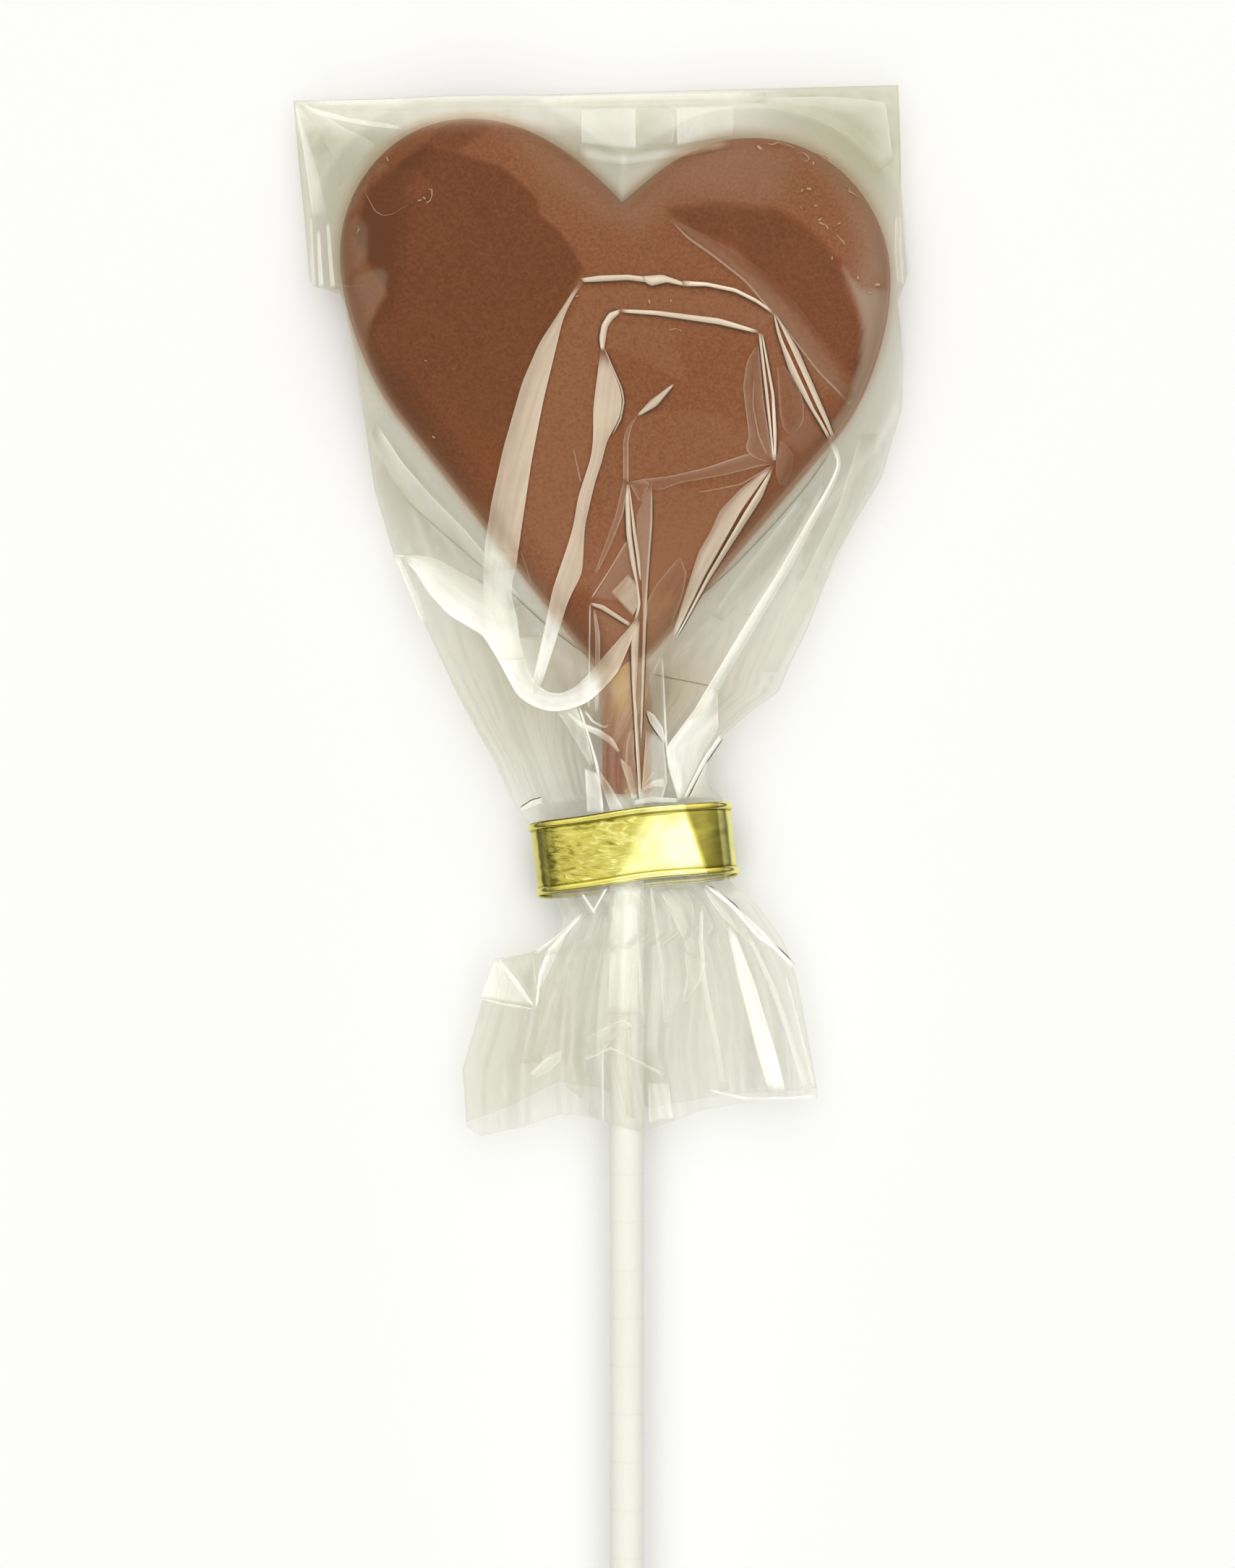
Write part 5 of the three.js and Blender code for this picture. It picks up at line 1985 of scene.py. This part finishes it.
    Fold("thin_crease_low", (0.2, 0.25, 0.2), ((-13.9, 18.4), (-12.6, 14.3)), ((-13.7, 18.4),
        (-12.4, 14.3)), fade=(0.6, 1), lift=0.2),
    Fold("centre_upright", (0.85, 0.95, 0.8), ((0, 27.1), (-0.2, 24.6), (-0.1, 20.7), (0.5, 16.8),
        (1.2, 14), (1.5, 11.5), (0.9, 9.4)), ((0.2, 27.1), (0.6, 20.7), (1.8, 11.5), (1.3, 9.4)),
        dark=Side.LEFT, lift=0.8),
    Fold("centre_upright_b", (0.9, 0.8, 0.6), ((0.2, 27.1), (0.8, 20.7), (1.7, 14.5)), ((0.3, 27.1),
        (1.7, 17.3), (1.9, 14.5)), rim=0.15, dark=Side.LEFT, fade=(1, 0.9), lift=0.5),
    Fold("centre_lower", (0.8, 0.9, 0.65), ((0.9, 9.6), (0.5, 6), (0.6, 2.1), (1.6, -14.5)), ((1.7, 9.9),
        (1.2, -0.6), (2, -14.5)), rim=0.15, dark=Side.LEFT, lift=0.8),
    Fold("second_upright", (0.45, 0.6, 0.7), ((3.1, 27.4), (3, 22), (2.1, 9.4), (1.7, -6.7)),
        ((3.3, 27.4), (3.3, 22), (2.7, 14.1), (1.9, -6.7)), rim=0.2, dark=Side.RIGHT, fade=(0.6, 1.2),
        lift=0.5),
    Fold("between_uprights", (0.25, 0.32, 0.3), ((3.1, 27.2), (1.2, 23.1), (1.3, 19.9), (1.9, 16),
        (2.1, 9.4)), ((3.2, 27.2), (3.2, 22), (2.3, 9.4)), fade=(0.8, 1.1)),
    Fold("small_facet", (0.2, 0.15, 0.25), ((0.3, 27.2), (1.6, 24.8)), ((2.2, 27.7), (3, 27.2),
        (1.9, 24.7)), rim=0.2, fade=(1, 0.8), lift=0.2),
    Fold("crossing_band", (0.24, 0.14, 0.18), ((0.1, 27.3), (2.2, 27.8), (5.3, 28.1), (10.1, 29.2),
        (15.4, 31), (16.4, 31.1)), ((2.2, 26.9), (4.3, 26.3), (6.9, 27.3), (12.7, 28.3), (17.4, 29.5),
        (18.9, 29.7)), rim=0.25, fade=(0.9, 1)),
    Fold("crossing_ray", (0.25, 0.3, 0.25), ((9.1, 26.1), (14.8, 27.2), (18.8, 29.6)), ((9.2, 25.9),
        (14.9, 27), (18.9, 29.4)), fade=(0.6, 1), lift=0.2),
    Fold("lobe_streak", (0.02, 0.06, 0.14), ((5.4, 62), (9.3, 60.1), (13.4, 57.8), (18.1, 54.8),
        (22.9, 49.7), (30.1, 38.6)), ((5.4, 61.7), (7.9, 59.2), (11.2, 56.9), (15.5, 53.5), (19.7, 48.5),
        (25, 41.7), (29, 37.7)), rim=0.05, fade=(1, 0.8), lift=0.4),
    Fold("lobe_thread", (0.3, 0.4, 0.3), ((5.4, 61.9), (7.9, 59.4), (11.2, 57.1), (15.5, 53.7),
        (19.7, 48.7), (25, 41.9), (29, 37.9)), ((5.4, 61.7), (7.8, 59.1), (11.1, 56.8), (15.4, 53.4),
        (19.7, 48.4), (24.9, 41.6), (28.9, 37.6)), fade=(0.9, 0.8), lift=0.2),
    Fold("u_inside", (0.5, 0.3, 0.2), ((-14.3, 7.5), (-13.8, 5.1), (-13, 2.8), (-11.9, 0.7)),
        ((-10.9, 7.5), (-11.3, 2.8), (-11.3, 0.3)), rim=0.02, fade=(0.5, 1.2), lift=0.1),
    Fold("left_swoosh", (0.9, 0.6, 0.2), ((-29.5, 17.8), (-27.7, 15.9), (-26.1, 13.2), (-23.4, 10.3),
        (-18.9, 7.6), (-14.4, 0.4)), ((-29, 18.4), (-25.2, 17.8), (-18.9, 14.3), (-16.8, 12.1),
        (-15.4, 9.6), (-13.8, 3.2)), rim=0.12, fade=(0.9, 1), lift=0.4),
    Fold("left_edge_fold", (0.7, 0.5, 0.1), ((-30.6, 18.1), (-26.9, 9.2)), ((-30, 18.3), (-27.1, 12.2),
        (-26.1, 9.2)), rim=0.2, fade=(1, 0.7)),
    Fold("left_edge_fold_b", (0.1, 0.3, 0.5), ((-30.7, 17.9), (-29.1, 17.6), (-27.5, 17)),
        ((-30.6, 18.3), (-29, 18.1), (-27.3, 17.6)), fade=(1, 0.7)),
    Fold("flank_strip", (0.1, 0.35, 0.5), ((-33.5, 34.1), (-31.4, 28.9), (-27.7, 24.1), (-23.4, 19.8),
        (-15.9, 10.8)), ((-32.9, 35.5), (-29.5, 30.3), (-25.3, 25.5), (-21.1, 21.3), (-13.2, 11.7)),
        rim=0.12, fade=(0.9, 0.6)),
    Fold("back_lap_left", (0.06, 0.06, 0.06), ((-29.1, 25.5), (-15.9, 14), (-11, 9.4), (-5.2, 4.9)),
        ((-29, 25.7), (-10.8, 9.6), (-5, 5.1)), dark=Side.LEFT, fade=(0.4, 0.6), lift=0.1),
    Fold("back_lap_right", (0.1, 0.1, 0.1), ((26.7, 31.8), (23.5, 27.2), (19.5, 22.5), (14.1, 16.8),
        (9.3, 12.4)), ((26.5, 32), (23.4, 27.4), (19.3, 22.7), (13.9, 17), (9.1, 12.6)),
        dark=Side.LEFT, fade=(0.35, 0.5), lift=0.1),
    Fold("right_flank_a", (0.1, 0.25, 0.35), ((25.6, 27.6), (22.6, 21.7), (19.3, 16), (15.5, 10.3)),
        ((26, 27.4), (23.3, 21.5), (20.2, 15.9), (16.6, 10.3)), rim=0.15, fade=(0.8, 0.7)),
    Fold("right_flank_b", (0.3, 0.2, 0.1), ((22.6, 25.5), (14.5, 15.1), (11.2, 10.3)), ((24, 25.5),
        (20.2, 19.4), (12.6, 9.4)), fade=(0.8, 0.6)),
    Fold("right_outside", (0.2, 0.08, 0.02), ((30.7, 34.1), (27.8, 24.6), (20.7, 10.3), (17.8, 2.8)),
        ((33, 34.1), (30.7, 24.6), (26.9, 16), (23.1, 9.4), (19.7, 2.8)), rim=0.12, fade=(1, 0.6)),
    Fold("right_triangle", (0.14, 0.08, 0.14), ((4.4, 4.9), (2.8, 1.5), (2.4, -1)), ((4.6, 4.9),
        (4.7, -0.1), (5.1, -5.4)), rim=0.2),
    Fold("right_cross_crease", (0.1, 0.1, 0.1), ((3.2, 2.4), (11.1, 0.8)), ((3.2, 2.2), (11.1, 0.6)),
        rim=0.05, dark=Side.LEFT, fade=(0.4, 0.6), lift=0.1),
)  # fmt: skip

NECK_FOLDS: tuple[Fold, ...] = (
    Fold("neck_left_facet", (0.5, 0.45, 0.5), ((-5.5, -9.8), (-5.2, -15.7)), ((-4, -10.4), (-3.5, -12.4),
        (-3.2, -15.7)), rim=0.25, lift=0.4),
    Fold("neck_left_crease", (0.9, 0.95, 0.8), ((-6.4, -1.8), (-4.8, -6.7), (-4.1, -9.6), (-3.6, -12.4),
        (-3.3, -15.7)), ((-6, -2), (-3.7, -9.6), (-3, -15.7)), fade=(0.9, 1), lift=0.6),
    Fold("neck_left_veil", (0.35, 0.3, 0.5), ((-9.2, -2.4), (-7.8, -4.4), (-4.8, -9.6)), ((-6.6, -1.8),
        (-5, -6.3), (-4.3, -9.4)), rim=0.15, fade=(1, 0.7)),
    Fold("neck_pink_facet", (0.5, 0.4, 0.45), ((-3.8, -10.5), (-2.1, -15.7)), ((-3.5, -10.3),
        (-2, -12.4), (-0.3, -15.4)), rim=0.25, lift=0.4),
    Fold("neck_slanting", (0.7, 0.75, 0.5), ((-7.9, -2.4), (-5.8, -3.9), (-3.5, -4.8), (-1.8, -6),
        (-0.9, -7.7)), ((-7.9, -2.7), (-6.1, -4.5), (-3.8, -5.6), (-2.2, -6.7), (-1.1, -7.9)),
        rim=0.15, fade=(0.9, 1), lift=0.5),
    Fold("neck_curl", (0.5, 0.6, 0.5), ((-5.6, -2.5), (-4.5, -3.9), (-2.9, -4.7), (-2.1, -4.1)),
        ((-5.4, -2.3), (-4.3, -3.7), (-2.9, -4.4), (-2.3, -4)), fade=(1, 0.8)),
    Fold("neck_mid_leaf", (0.5, 0.45, 0.55), ((-0.9, -8.5), (0.5, -9.8), (1.1, -12), (1.3, -13.9)),
        ((-0.9, -8.7), (0.7, -14)), rim=0.25, lift=0.4),
    Fold("neck_mid_shade", (0.35, 0.25, 0.35), ((0.5, -4.7), (-0.1, -6.7), (-0.3, -9.6), (0.1, -12.9)),
        ((0.9, -4.7), (0.9, -7.7), (1.6, -13.4)), rim=0.15),
    Fold("neck_petal", (0.6, 0.5, 0.7), ((2.5, -2.4), (3, -3.9), (4.9, -6.6)), ((2.6, -2.3), (3.7, -2.9),
        (4.7, -4.5), (5.1, -6.5)), rim=0.2, dark=Side.LEFT, lift=0.4),
    Fold("neck_right_thread", (0.6, 0.7, 0.6), ((4.6, 4.9), (5, -6.6), (5.7, -10.3), (6.9, -14)),
        ((4.7, 4.9), (5.3, -6.6), (6.1, -10.2), (7.3, -13.8)), fade=(0.6, 1.1), lift=0.4),
    Fold("neck_right_facet", (0.8, 0.66, 0.4), ((11.1, 0.8), (5.3, -6.9), (7, -13.8)), ((11.9, 0.4),
        (12, -4.6), (10.1, -7.7), (7.2, -13.8)), rim=0.12, fade=(0.9, 1), lift=0.6),
    Fold("neck_right_crease", (0.7, 0.7, 0.5), ((12.2, -5.4), (10, -8.6), (7.3, -13.8)), ((12.6, -5.8),
        (10.4, -9), (7.8, -13.8)), dark=Side.RIGHT, fade=(0.9, 1), lift=0.4),
    Fold("neck_right_wing", (0.5, 0.3, 0.15), ((10.5, -8.8), (8.1, -13.8)), ((10.9, -9.4), (10.5, -12),
        (11.7, -13.8)), rim=0.15, fade=(0.8, 1), lift=0.4),
    Fold("neck_centre_facet", (0.5, 0.35, 0.4), ((2.5, -4.8), (1.8, -14.5)), ((4.8, -6), (5.3, -11.5),
        (4.6, -14.1)), rim=0.2),
    Fold("neck_centre_facet_b", (0.6, 0.45, 0.3), ((5.1, -7.2), (5.4, -9.6), (6.7, -14)), ((5.3, -7.2),
        (6.2, -9.6), (7.1, -14)), rim=0.2),
    Fold("neck_low_rays", (0.8, 0.8, 0.6), ((2, -12.6), (3.4, -11.5), (4.9, -11.1)), ((2.1, -12.8),
        (3.5, -12.2), (5.1, -12.4)), rim=0.2, fade=(1, 0.8)),
    Fold("neck_low_rays_b", (0.7, 0.7, 0.5), ((2, -12.2), (3.5, -10.3)), ((2.1, -12.4), (3.7, -10.4)),
        fade=(1, 0.8)),
    Fold("neck_collar", (0.6, 0.5, 0.5), ((0.8, -14.1), (3.1, -13.6), (6.7, -13.8)), ((0.9, -14.7),
        (3.1, -14.3), (6.7, -14.3)), rim=0.15),
    Fold("left_tuck", (0.5, 0.4, 0.3), ((-14, -15.1), (-12.5, -14.1), (-11.1, -13.7)), ((-14.1, -15.6),
        (-10.9, -14.3)), rim=0.2, dark=Side.LEFT),
)  # fmt: skip

SKIRT_FOLDS: tuple[Fold, ...] = (
    Fold("skirt_left_corner", (0.75, 0.5, 0.35), ((-17.2, -34.8), (-19.2, -40)), ((-16.9, -34.9),
        (-12.4, -41)), rim=0.3, lift=0.4),
    Fold("skirt_left_edge", (0.9, 0.5, 0.9), ((-17.2, -34.7), (-13, -40.7)), ((-16.9, -34.7),
        (-14.6, -37.3), (-12.1, -41)), lift=0.5),
    Fold("skirt_left_base", (0.6, 0.5, 0.2), ((-19.2, -39.9), (-15.9, -40.7), (-12.2, -41.3)),
        ((-19.2, -40.2), (-15.9, -41.1), (-12.2, -41.5))),
    Fold("skirt_left_panel", (0.15, 0.1, 0.2), ((-16.8, -34.8), (-14.5, -37.1), (-12.1, -40.4)),
        ((-12.3, -34.1), (-11.7, -39)), rim=0.2),
    Fold("skirt_left_wing", (0.6, 0.45, 0.5), ((-10.4, -33.5), (-11.3, -36.2), (-11.8, -38.8)),
        ((-6.8, -29.3), (-11.6, -39.2)), rim=0.25, lift=0.4),
    Fold("skirt_left_crease", (0.9, 0.9, 0.7), ((-6, -28.9), (-10.3, -33.7), (-11.5, -36.6),
        (-12, -41.1)), ((-5.8, -29.1), (-10.1, -34.1), (-11.2, -36.9), (-11.7, -41.2)), lift=0.5),
    Fold("skirt_left_top", (0.6, 0.4, 0.2), ((-12.1, -33.9), (-9.2, -31.8), (-6, -28.8)),
        ((-11.9, -34.3), (-9.4, -32.4), (-6.4, -29.3)), rim=0.2),
    Fold("skirt_fan_a", (0.05, 0.3, 0.1), ((-5.2, -28.8), (-7.3, -32.4), (-9.7, -37.1), (-14, -48.5)),
        ((-4.3, -28.8), (-7.8, -37.1), (-11.3, -48.5)), rim=0.12, fade=(1, 0.3)),
    Fold("skirt_fan_b", (0.3, 0.15, 0.3), ((-3.3, -28.6), (-4.7, -33.3), (-7.1, -44.7), (-8.3, -51.4)),
        ((-2.4, -28.6), (-3.1, -33.3), (-4.3, -39), (-5.8, -53.3)), fade=(1, 0.4)),
    Fold("skirt_fan_c", (0.1, 0.35, 0.2), ((-2, -25.9), (-3.1, -32.4), (-3.9, -40), (-5, -55.2)),
        ((-1.2, -25.9), (-2.8, -40), (-3.7, -55.9)), fade=(1, 0.7)),
    Fold("skirt_stick_light", (0.45, 0.8, 0.45), ((-1.6, -25.3), (-2.4, -36.2), (-2.4, -41.9)),
        ((1.8, -25.3), (1.4, -36.2), (1.4, -41.9)), rim=0.05, fade=(1, 0.6), lift=0.4),
    Fold("skirt_right_band", (0.6, 0.95, 0.9), ((12.9, -29.7), (14.6, -37.6), (17.2, -47.6),
        (18.7, -52.5)), ((14, -30.9), (16.8, -38.1), (19.7, -47.6), (20.9, -52.5)),
        rim=0.15, fade=(0.9, 1), lift=0.7),
    Fold("skirt_right_stripe", (0.5, 0.6, 0.4), ((15.5, -31.4), (18.5, -38.1), (20.6, -43.8),
        (23.3, -52.5)), ((16, -31.4), (19.3, -38.1), (21.4, -43.8), (24.2, -52.4)),
        rim=0.2, fade=(0.8, 0.8), lift=0.4),
    Fold("skirt_right_edge", (0.9, 0.9, 0.7), ((10.2, -25.3), (13.6, -28), (16.9, -31.9), (19.7, -33.9),
        (21.7, -35.8)), ((10.4, -25), (14, -27.7), (17.3, -31.6), (20, -33.6), (22, -35.6)),
        dark=Side.RIGHT, lift=0.6),
    Fold("skirt_right_inner", (0.6, 0.7, 0.6), ((11.1, -25.5), (17.2, -31.4), (21.7, -36.2)),
        ((11.5, -25.5), (17.8, -31.1), (20.5, -34.1), (22, -36.1)), lift=0.5),
    Fold("skirt_right_gusset", (0.5, 0.35, 0.15), ((10, -25.5), (11.2, -27.6), (12.6, -29.5),
        (14.5, -31.4)), ((10.7, -25.5), (13.6, -28.4), (15.9, -31.4), (18.3, -35.2)),
        rim=0.15, fade=(1, 0.8), lift=0.4),
    Fold("skirt_middle_facet", (0.2, 0.16, 0.3), ((7.5, -33.9), (7.9, -37.1), (7.2, -40.7)),
        ((10.3, -34.9), (9.8, -37.6), (7.6, -40.7)), rim=0.25, lift=0.4),
    Fold("skirt_middle_upper", (0.35, 0.3, 0.15), ((4.3, -25.9), (7.3, -32), (8.1, -34.3)),
        ((7.7, -25.5), (8.8, -28.1), (8.6, -31.4), (9, -34.3)), rim=0.2, fade=(1, 0.8)),
    Fold("skirt_hem_patch", (0.45, 0.4, 0.5), ((2.8, -51), (2.9, -56.4)), ((5.4, -50.9), (6.1, -55.8)),
        rim=0.2, fade=(0.8, 1)),
    Fold("skirt_stick_flap", (0.25, 0.2, 0.3), ((-5.5, -45.3), (-3.1, -43.8), (-0.5, -42.6), (1, -43.6)),
        ((-5.8, -48.1), (-3.6, -47.3), (-1.5, -44.8), (0.1, -44)), rim=0.3, lift=0.5),
    Fold("skirt_stick_flap_b", (0.3, 0.3, 0.3), ((-5.8, -48.1), (-2.1, -46.2), (5, -49.8)),
        ((-5.8, -48.3), (-2.1, -46.6), (1.1, -48.1), (4.8, -50.2)), rim=0.15, lift=0.4),
    Fold("skirt_oval", (0.3, 0.25, 0.3), ((-12.8, -50), (-10.7, -47.9), (-8.4, -46.7)), ((-12, -50.5),
        (-9.8, -49.4), (-8.4, -47.8)), rim=0.2),
    Fold("skirt_ray_a", (0.8, 0.8, 0.8), ((-2.8, -25.5), (-4.7, -28.8)), ((-2.5, -25.5), (-4.4, -28.9)),
        fade=(1, 0.8), lift=0.4),
    Fold("skirt_ray_b", (0.7, 0.7, 0.7), ((-6, -26.3), (-4.3, -29)), ((-5.7, -26.2), (-4, -28.8)),
        fade=(1, 0.8), lift=0.4),
    Fold("skirt_ray_c", (0.5, 0.5, 0.5), ((-3.3, -44.7), (-3.4, -55.9)), ((-3, -44.7), (-3, -56)),
        fade=(0.7, 1), lift=0.4),
    Fold("skirt_ray_d", (0.4, 0.5, 0.3), ((0.7, -25.3), (2, -43.8)), ((0.9, -25.3), (2.1, -37.1),
        (2.5, -43.8)), fade=(1, 0.6), lift=0.4),
    Fold("skirt_ray_e", (0.4, 0.4, 0.5), ((2.9, -25.2), (4.3, -36.2), (4.8, -43.8)), ((3.3, -25.2),
        (4.9, -36.2), (5.6, -43.8)), fade=(1, 0.6), lift=0.4),
    Fold("skirt_ray_f", (0.3, 0.5, 0.4), ((9.6, -27.6), (9.4, -32.4), (9.8, -38.1), (12.2, -52.3)),
        ((10, -27.6), (10, -32.4), (10.5, -38.1), (13.4, -52.1)), fade=(1, 0.6), lift=0.4),
    Fold("skirt_ray_g", (0.4, 0.5, 0.4), ((20.6, -36.6), (24.4, -51.9)), ((20.9, -36.6), (24.9, -51.8)),
        fade=(0.8, 1), lift=0.4),
    Fold("skirt_ray_h", (0.35, 0.2, 0.3), ((-0.7, -41.9), (-0.1, -55.2)), ((0.1, -41.9), (1, -55.6)),
        fade=(1, 0.5), lift=0.4),
    Fold("skirt_hem_line", (0.5, 0.5, 0.5), ((10.7, -51.9), (15.5, -53), (20.2, -53.1), (25, -52.7)),
        ((10.7, -52.2), (15.5, -53.4), (20.2, -53.4), (25, -53.1))),
)  # fmt: skip

SEAM_FOLDS: tuple[Fold, ...] = (
    Fold("seam_panel_left", (0.4, 0.35, 0.42), ((-6, 77), (-5.9, 72.1)), ((1.1, 77.2), (1.2, 71.5)),
        rim=0.04, lift=0.15),
    Fold("seam_panel_middle", (0.08, 0.14, 0.2), ((1.2, 77.2), (1.6, 71.9)), ((5.6, 77.2), (6.4, 74.9),
        (6, 72.1)), rim=0.15, lift=0.15),
    Fold("seam_panel_right", (0.45, 0.4, 0.35), ((6.5, 77.2), (6.6, 71.7)), ((13.9, 77.4), (13.9, 72.8)),
        rim=0.04, lift=0.15),
    Fold("seam_strip_top", (0.55, 0.35, 0.05), ((-43.4, 77.9), (18.3, 79.1)), ((-42.4, 76.8),
        (-29.1, 76.6), (18.3, 77.6)), rim=0.12, fade=(1, 0.7), lift=0.2),
    Fold("seam_strip_low", (0.12, 0.4, 0.12), ((-6.4, 71.7), (-0.7, 70.9), (6.5, 71.3), (13.6, 72.4)),
        ((-6.4, 69.6), (-0.7, 69.4), (6.5, 69.8), (13.6, 71.1)), rim=0.05, lift=0.2),
    Fold("seam_right_fall", (0.05, 0.2, 0.3), ((16.4, 77.8), (24, 75.9), (29.7, 73), (33, 68.3)),
        ((18.3, 78.3), (26.9, 78.5), (34, 77.8), (35, 70.2)), fade=(1, 0.8), lift=0.2),
    Fold("corner_line", (0.6, 0.5, 0.15), ((-43.7, 77.6), (-42.8, 73), (-41.3, 62.6)), ((-43.4, 77.6),
        (-40.5, 68.3), (-39.4, 62.6)), rim=0.15, fade=(1, 0.6)),
    Fold("corner_top_line", (0.5, 0.7, 0.4), ((-43.6, 77.8), (-41.5, 76.3), (-37.7, 75.3),
        (-29.1, 73.6)), ((-43.3, 78), (-40.9, 76.9), (-37.3, 75.9), (-31.8, 74.9), (-29.1, 74)),
        rim=0.15, fade=(1, 0.7)),
    Fold("corner_facet", (0.12, 0.2, 0.35), ((-43.2, 77.3), (-40.5, 74), (-38.4, 70.2), (-37.7, 66.4)),
        ((-42.4, 77.5), (-37.7, 74.7), (-34.4, 73), (-32.9, 71.6)), fade=(1, 0.6)),
    Fold("flap_pleat_a", (0.5, 0.6, 0.4), ((-40.7, 60.7), (-40.4, 53.3)), ((-40.3, 60.7), (-39.8, 53.3)),
        rim=0.15, fade=(0.7, 1)),
    Fold("flap_pleat_b", (0.5, 0.6, 0.4), ((-39.4, 61.6), (-38.8, 53.1)), ((-39, 61.6), (-38.2, 53.1)),
        rim=0.15, fade=(0.7, 1)),
    Fold("flap_pleat_c", (0.3, 0.4, 0.3), ((-41.7, 62.6), (-41.5, 53.4)), ((-41.4, 62.6), (-40.9, 53.4)),
        rim=0.15, fade=(0.7, 1)),
    Fold("flap_right", (0.3, 0.2, 0.4), ((35.2, 62.6), (35, 57.8), (35.4, 53.5)), ((36, 62.6),
        (36, 57.8), (36.3, 53.5)), rim=0.15, fade=(0.8, 1)),
)  # fmt: skip


@dataclass(frozen=True)
class Softbox:
    """One soft light, aimed at the middle of the heart."""

    name: str
    place: tuple[float, float, float]
    width: float
    length: float
    power: float


@dataclass
class Studio:
    """The floor, the lights and the camera."""

    floor_size: float = 3.0
    floor_drop: float = 0.0001
    distance: float = 0.55
    photo_height: float = 0.2044
    sensor: float = 36.0
    middle: Point = (2.32, 9.07)
    front: float = 0.009
    aim: tuple[float, float, float] = (0.0, 0.03, 0.0)
    sky: float = 1.66
    horizon: float = 0.08
    near_shade: float = 0.45
    side_shade: float = 0.8
    overhead: float = 0.04
    low_sky: float = 0.25
    lights: Sequence[Softbox] = (
        Softbox("left_light", (-0.62, 0.18, 0.48), 0.4, 0.5, 0.25),
        Softbox("right_light", (0.66, 0.06, 0.44), 0.35, 0.5, 0.25),
        Softbox("far_light", (0.05, 0.78, 0.42), 0.8, 0.25, 0.5),
        Softbox("near_light", (-0.1, -0.75, 0.5), 0.7, 0.25, 0.4),
    )

    def floor(self) -> bpy.types.Object:
        """Makes the plain pale floor.

        Returns:
            The floor.
        """
        mesh = bmesh.new()
        bmesh.ops.create_grid(mesh, x_segments=2, y_segments=2, size=self.floor_size / 2.0)
        bmesh.ops.translate(mesh, verts=mesh.verts, vec=(0.0, 0.0, -self.floor_drop))
        data = bpy.data.meshes.new("floor")
        mesh.to_mesh(data)
        mesh.free()
        floor = bpy.data.objects.new("floor", data)
        bpy.context.scene.collection.objects.link(floor)
        wires = Wires.finish("pale_floor")
        paint = wires.shader(
            PRINCIPLED, Base_Color=(0.93, 0.93, 0.925), Roughness=0.85, Specular_IOR_Level=0.1
        )
        data.materials.append(wires.done(paint))
        floor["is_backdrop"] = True
        return floor

    def light(self) -> None:
        """Hangs the soft lights and sets the dim sky between them."""
        for box in self.lights:
            data = bpy.data.lights.new(box.name, "AREA")
            data.shape = "RECTANGLE"
            data.size, data.size_y = box.width, box.length
            data.energy = box.power
            lamp = bpy.data.objects.new(box.name, data)
            lamp.location = box.place
            toward = Vector(self.aim) - Vector(box.place)
            lamp.rotation_euler = toward.to_track_quat("-Z", "Y").to_euler()
            bpy.context.scene.collection.objects.link(lamp)
        world = bpy.data.worlds.new("studio")
        wires = Wires(world)
        where = wires.node("ShaderNodeTexCoord").outputs["Generated"]
        side, back, up = wires.parts(where)
        glow = up.eased(self.low_sky, self.low_sky + 0.3) * self.sky
        glow = glow * (1.0 - (side * side).eased(0.10, 0.55) * self.side_shade)
        glow = glow * (1.0 - (back * -1.0).eased(0.15, 0.5) * self.near_shade)
        dome = glow * (1.0 - (1.0 - self.overhead) * up.eased(0.975, 0.993)) + self.horizon
        sky = wires.node(
            "ShaderNodeBackground", {}, {"Color": (1.0, 0.998, 0.985, 1.0), "Strength": dome}
        )
        wires.node("ShaderNodeOutputWorld", {}, {0: sky.outputs[0]})
        bpy.context.scene.world = world

    def camera(self) -> None:
        """Looks straight down on the part, framed as the photograph is."""
        data = bpy.data.cameras.new("camera")
        data.sensor_width = self.sensor
        data.lens = self.sensor * self.distance / self.photo_height
        data.clip_start, data.clip_end = 0.01, 10.0
        camera = bpy.data.objects.new("camera", data)
        camera.location = (
            self.middle[0] * MILLIMETRE,
            self.middle[1] * MILLIMETRE,
            self.front + self.distance,
        )
        bpy.context.scene.collection.objects.link(camera)
        bpy.context.scene.camera = camera

    def build(self) -> None:
        """Sets the stage."""
        self.floor()
        self.light()
        self.camera()
        scene = bpy.context.scene
        scene.view_settings.view_transform = "Standard"
        scene.cycles.transparent_max_bounces = 40


def main() -> None:
    """Builds the part in order."""
    logging.basicConfig(level=logging.INFO, format="%(message)s")
    stick = PaperStick()
    Workbench.set_origin(stick.inside_heart)
    Studio().build()
    heart = ChocolateHeart()
    heart.body()
    heart.neck()
    heart.crumb_dust()
    stick.build()
    GoldBand().build()
    bag = FilmBag()
    bag.sheet("front_film", True, 150, 256)
    bag.sheet("back_film", False, 100, 170)
    folded = ClearFilm("folded_film", milk_and_highlight=(0.97, 0.97, 0.91), crinkle=2.5).material()
    line = FoldShadeLine().material()
    for name, folds in (
        ("heart_folds", HEART_FOLDS),
        ("neck_folds", NECK_FOLDS),
        ("skirt_folds", SKIRT_FOLDS),
        ("seam_folds", SEAM_FOLDS),
    ):
        FilmFolds(name, folds).build([folded, line])
    corners = [[list(corner) for corner in box] for box in (CAD_BOX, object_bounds())]
    for label, (low, high) in zip(("cad", "visual"), corners):
        LOG.info("%s box: %s", label, [round(1000 * (b - a), 2) for a, b in zip(low, high)])


if __name__ == "__main__":
    main()
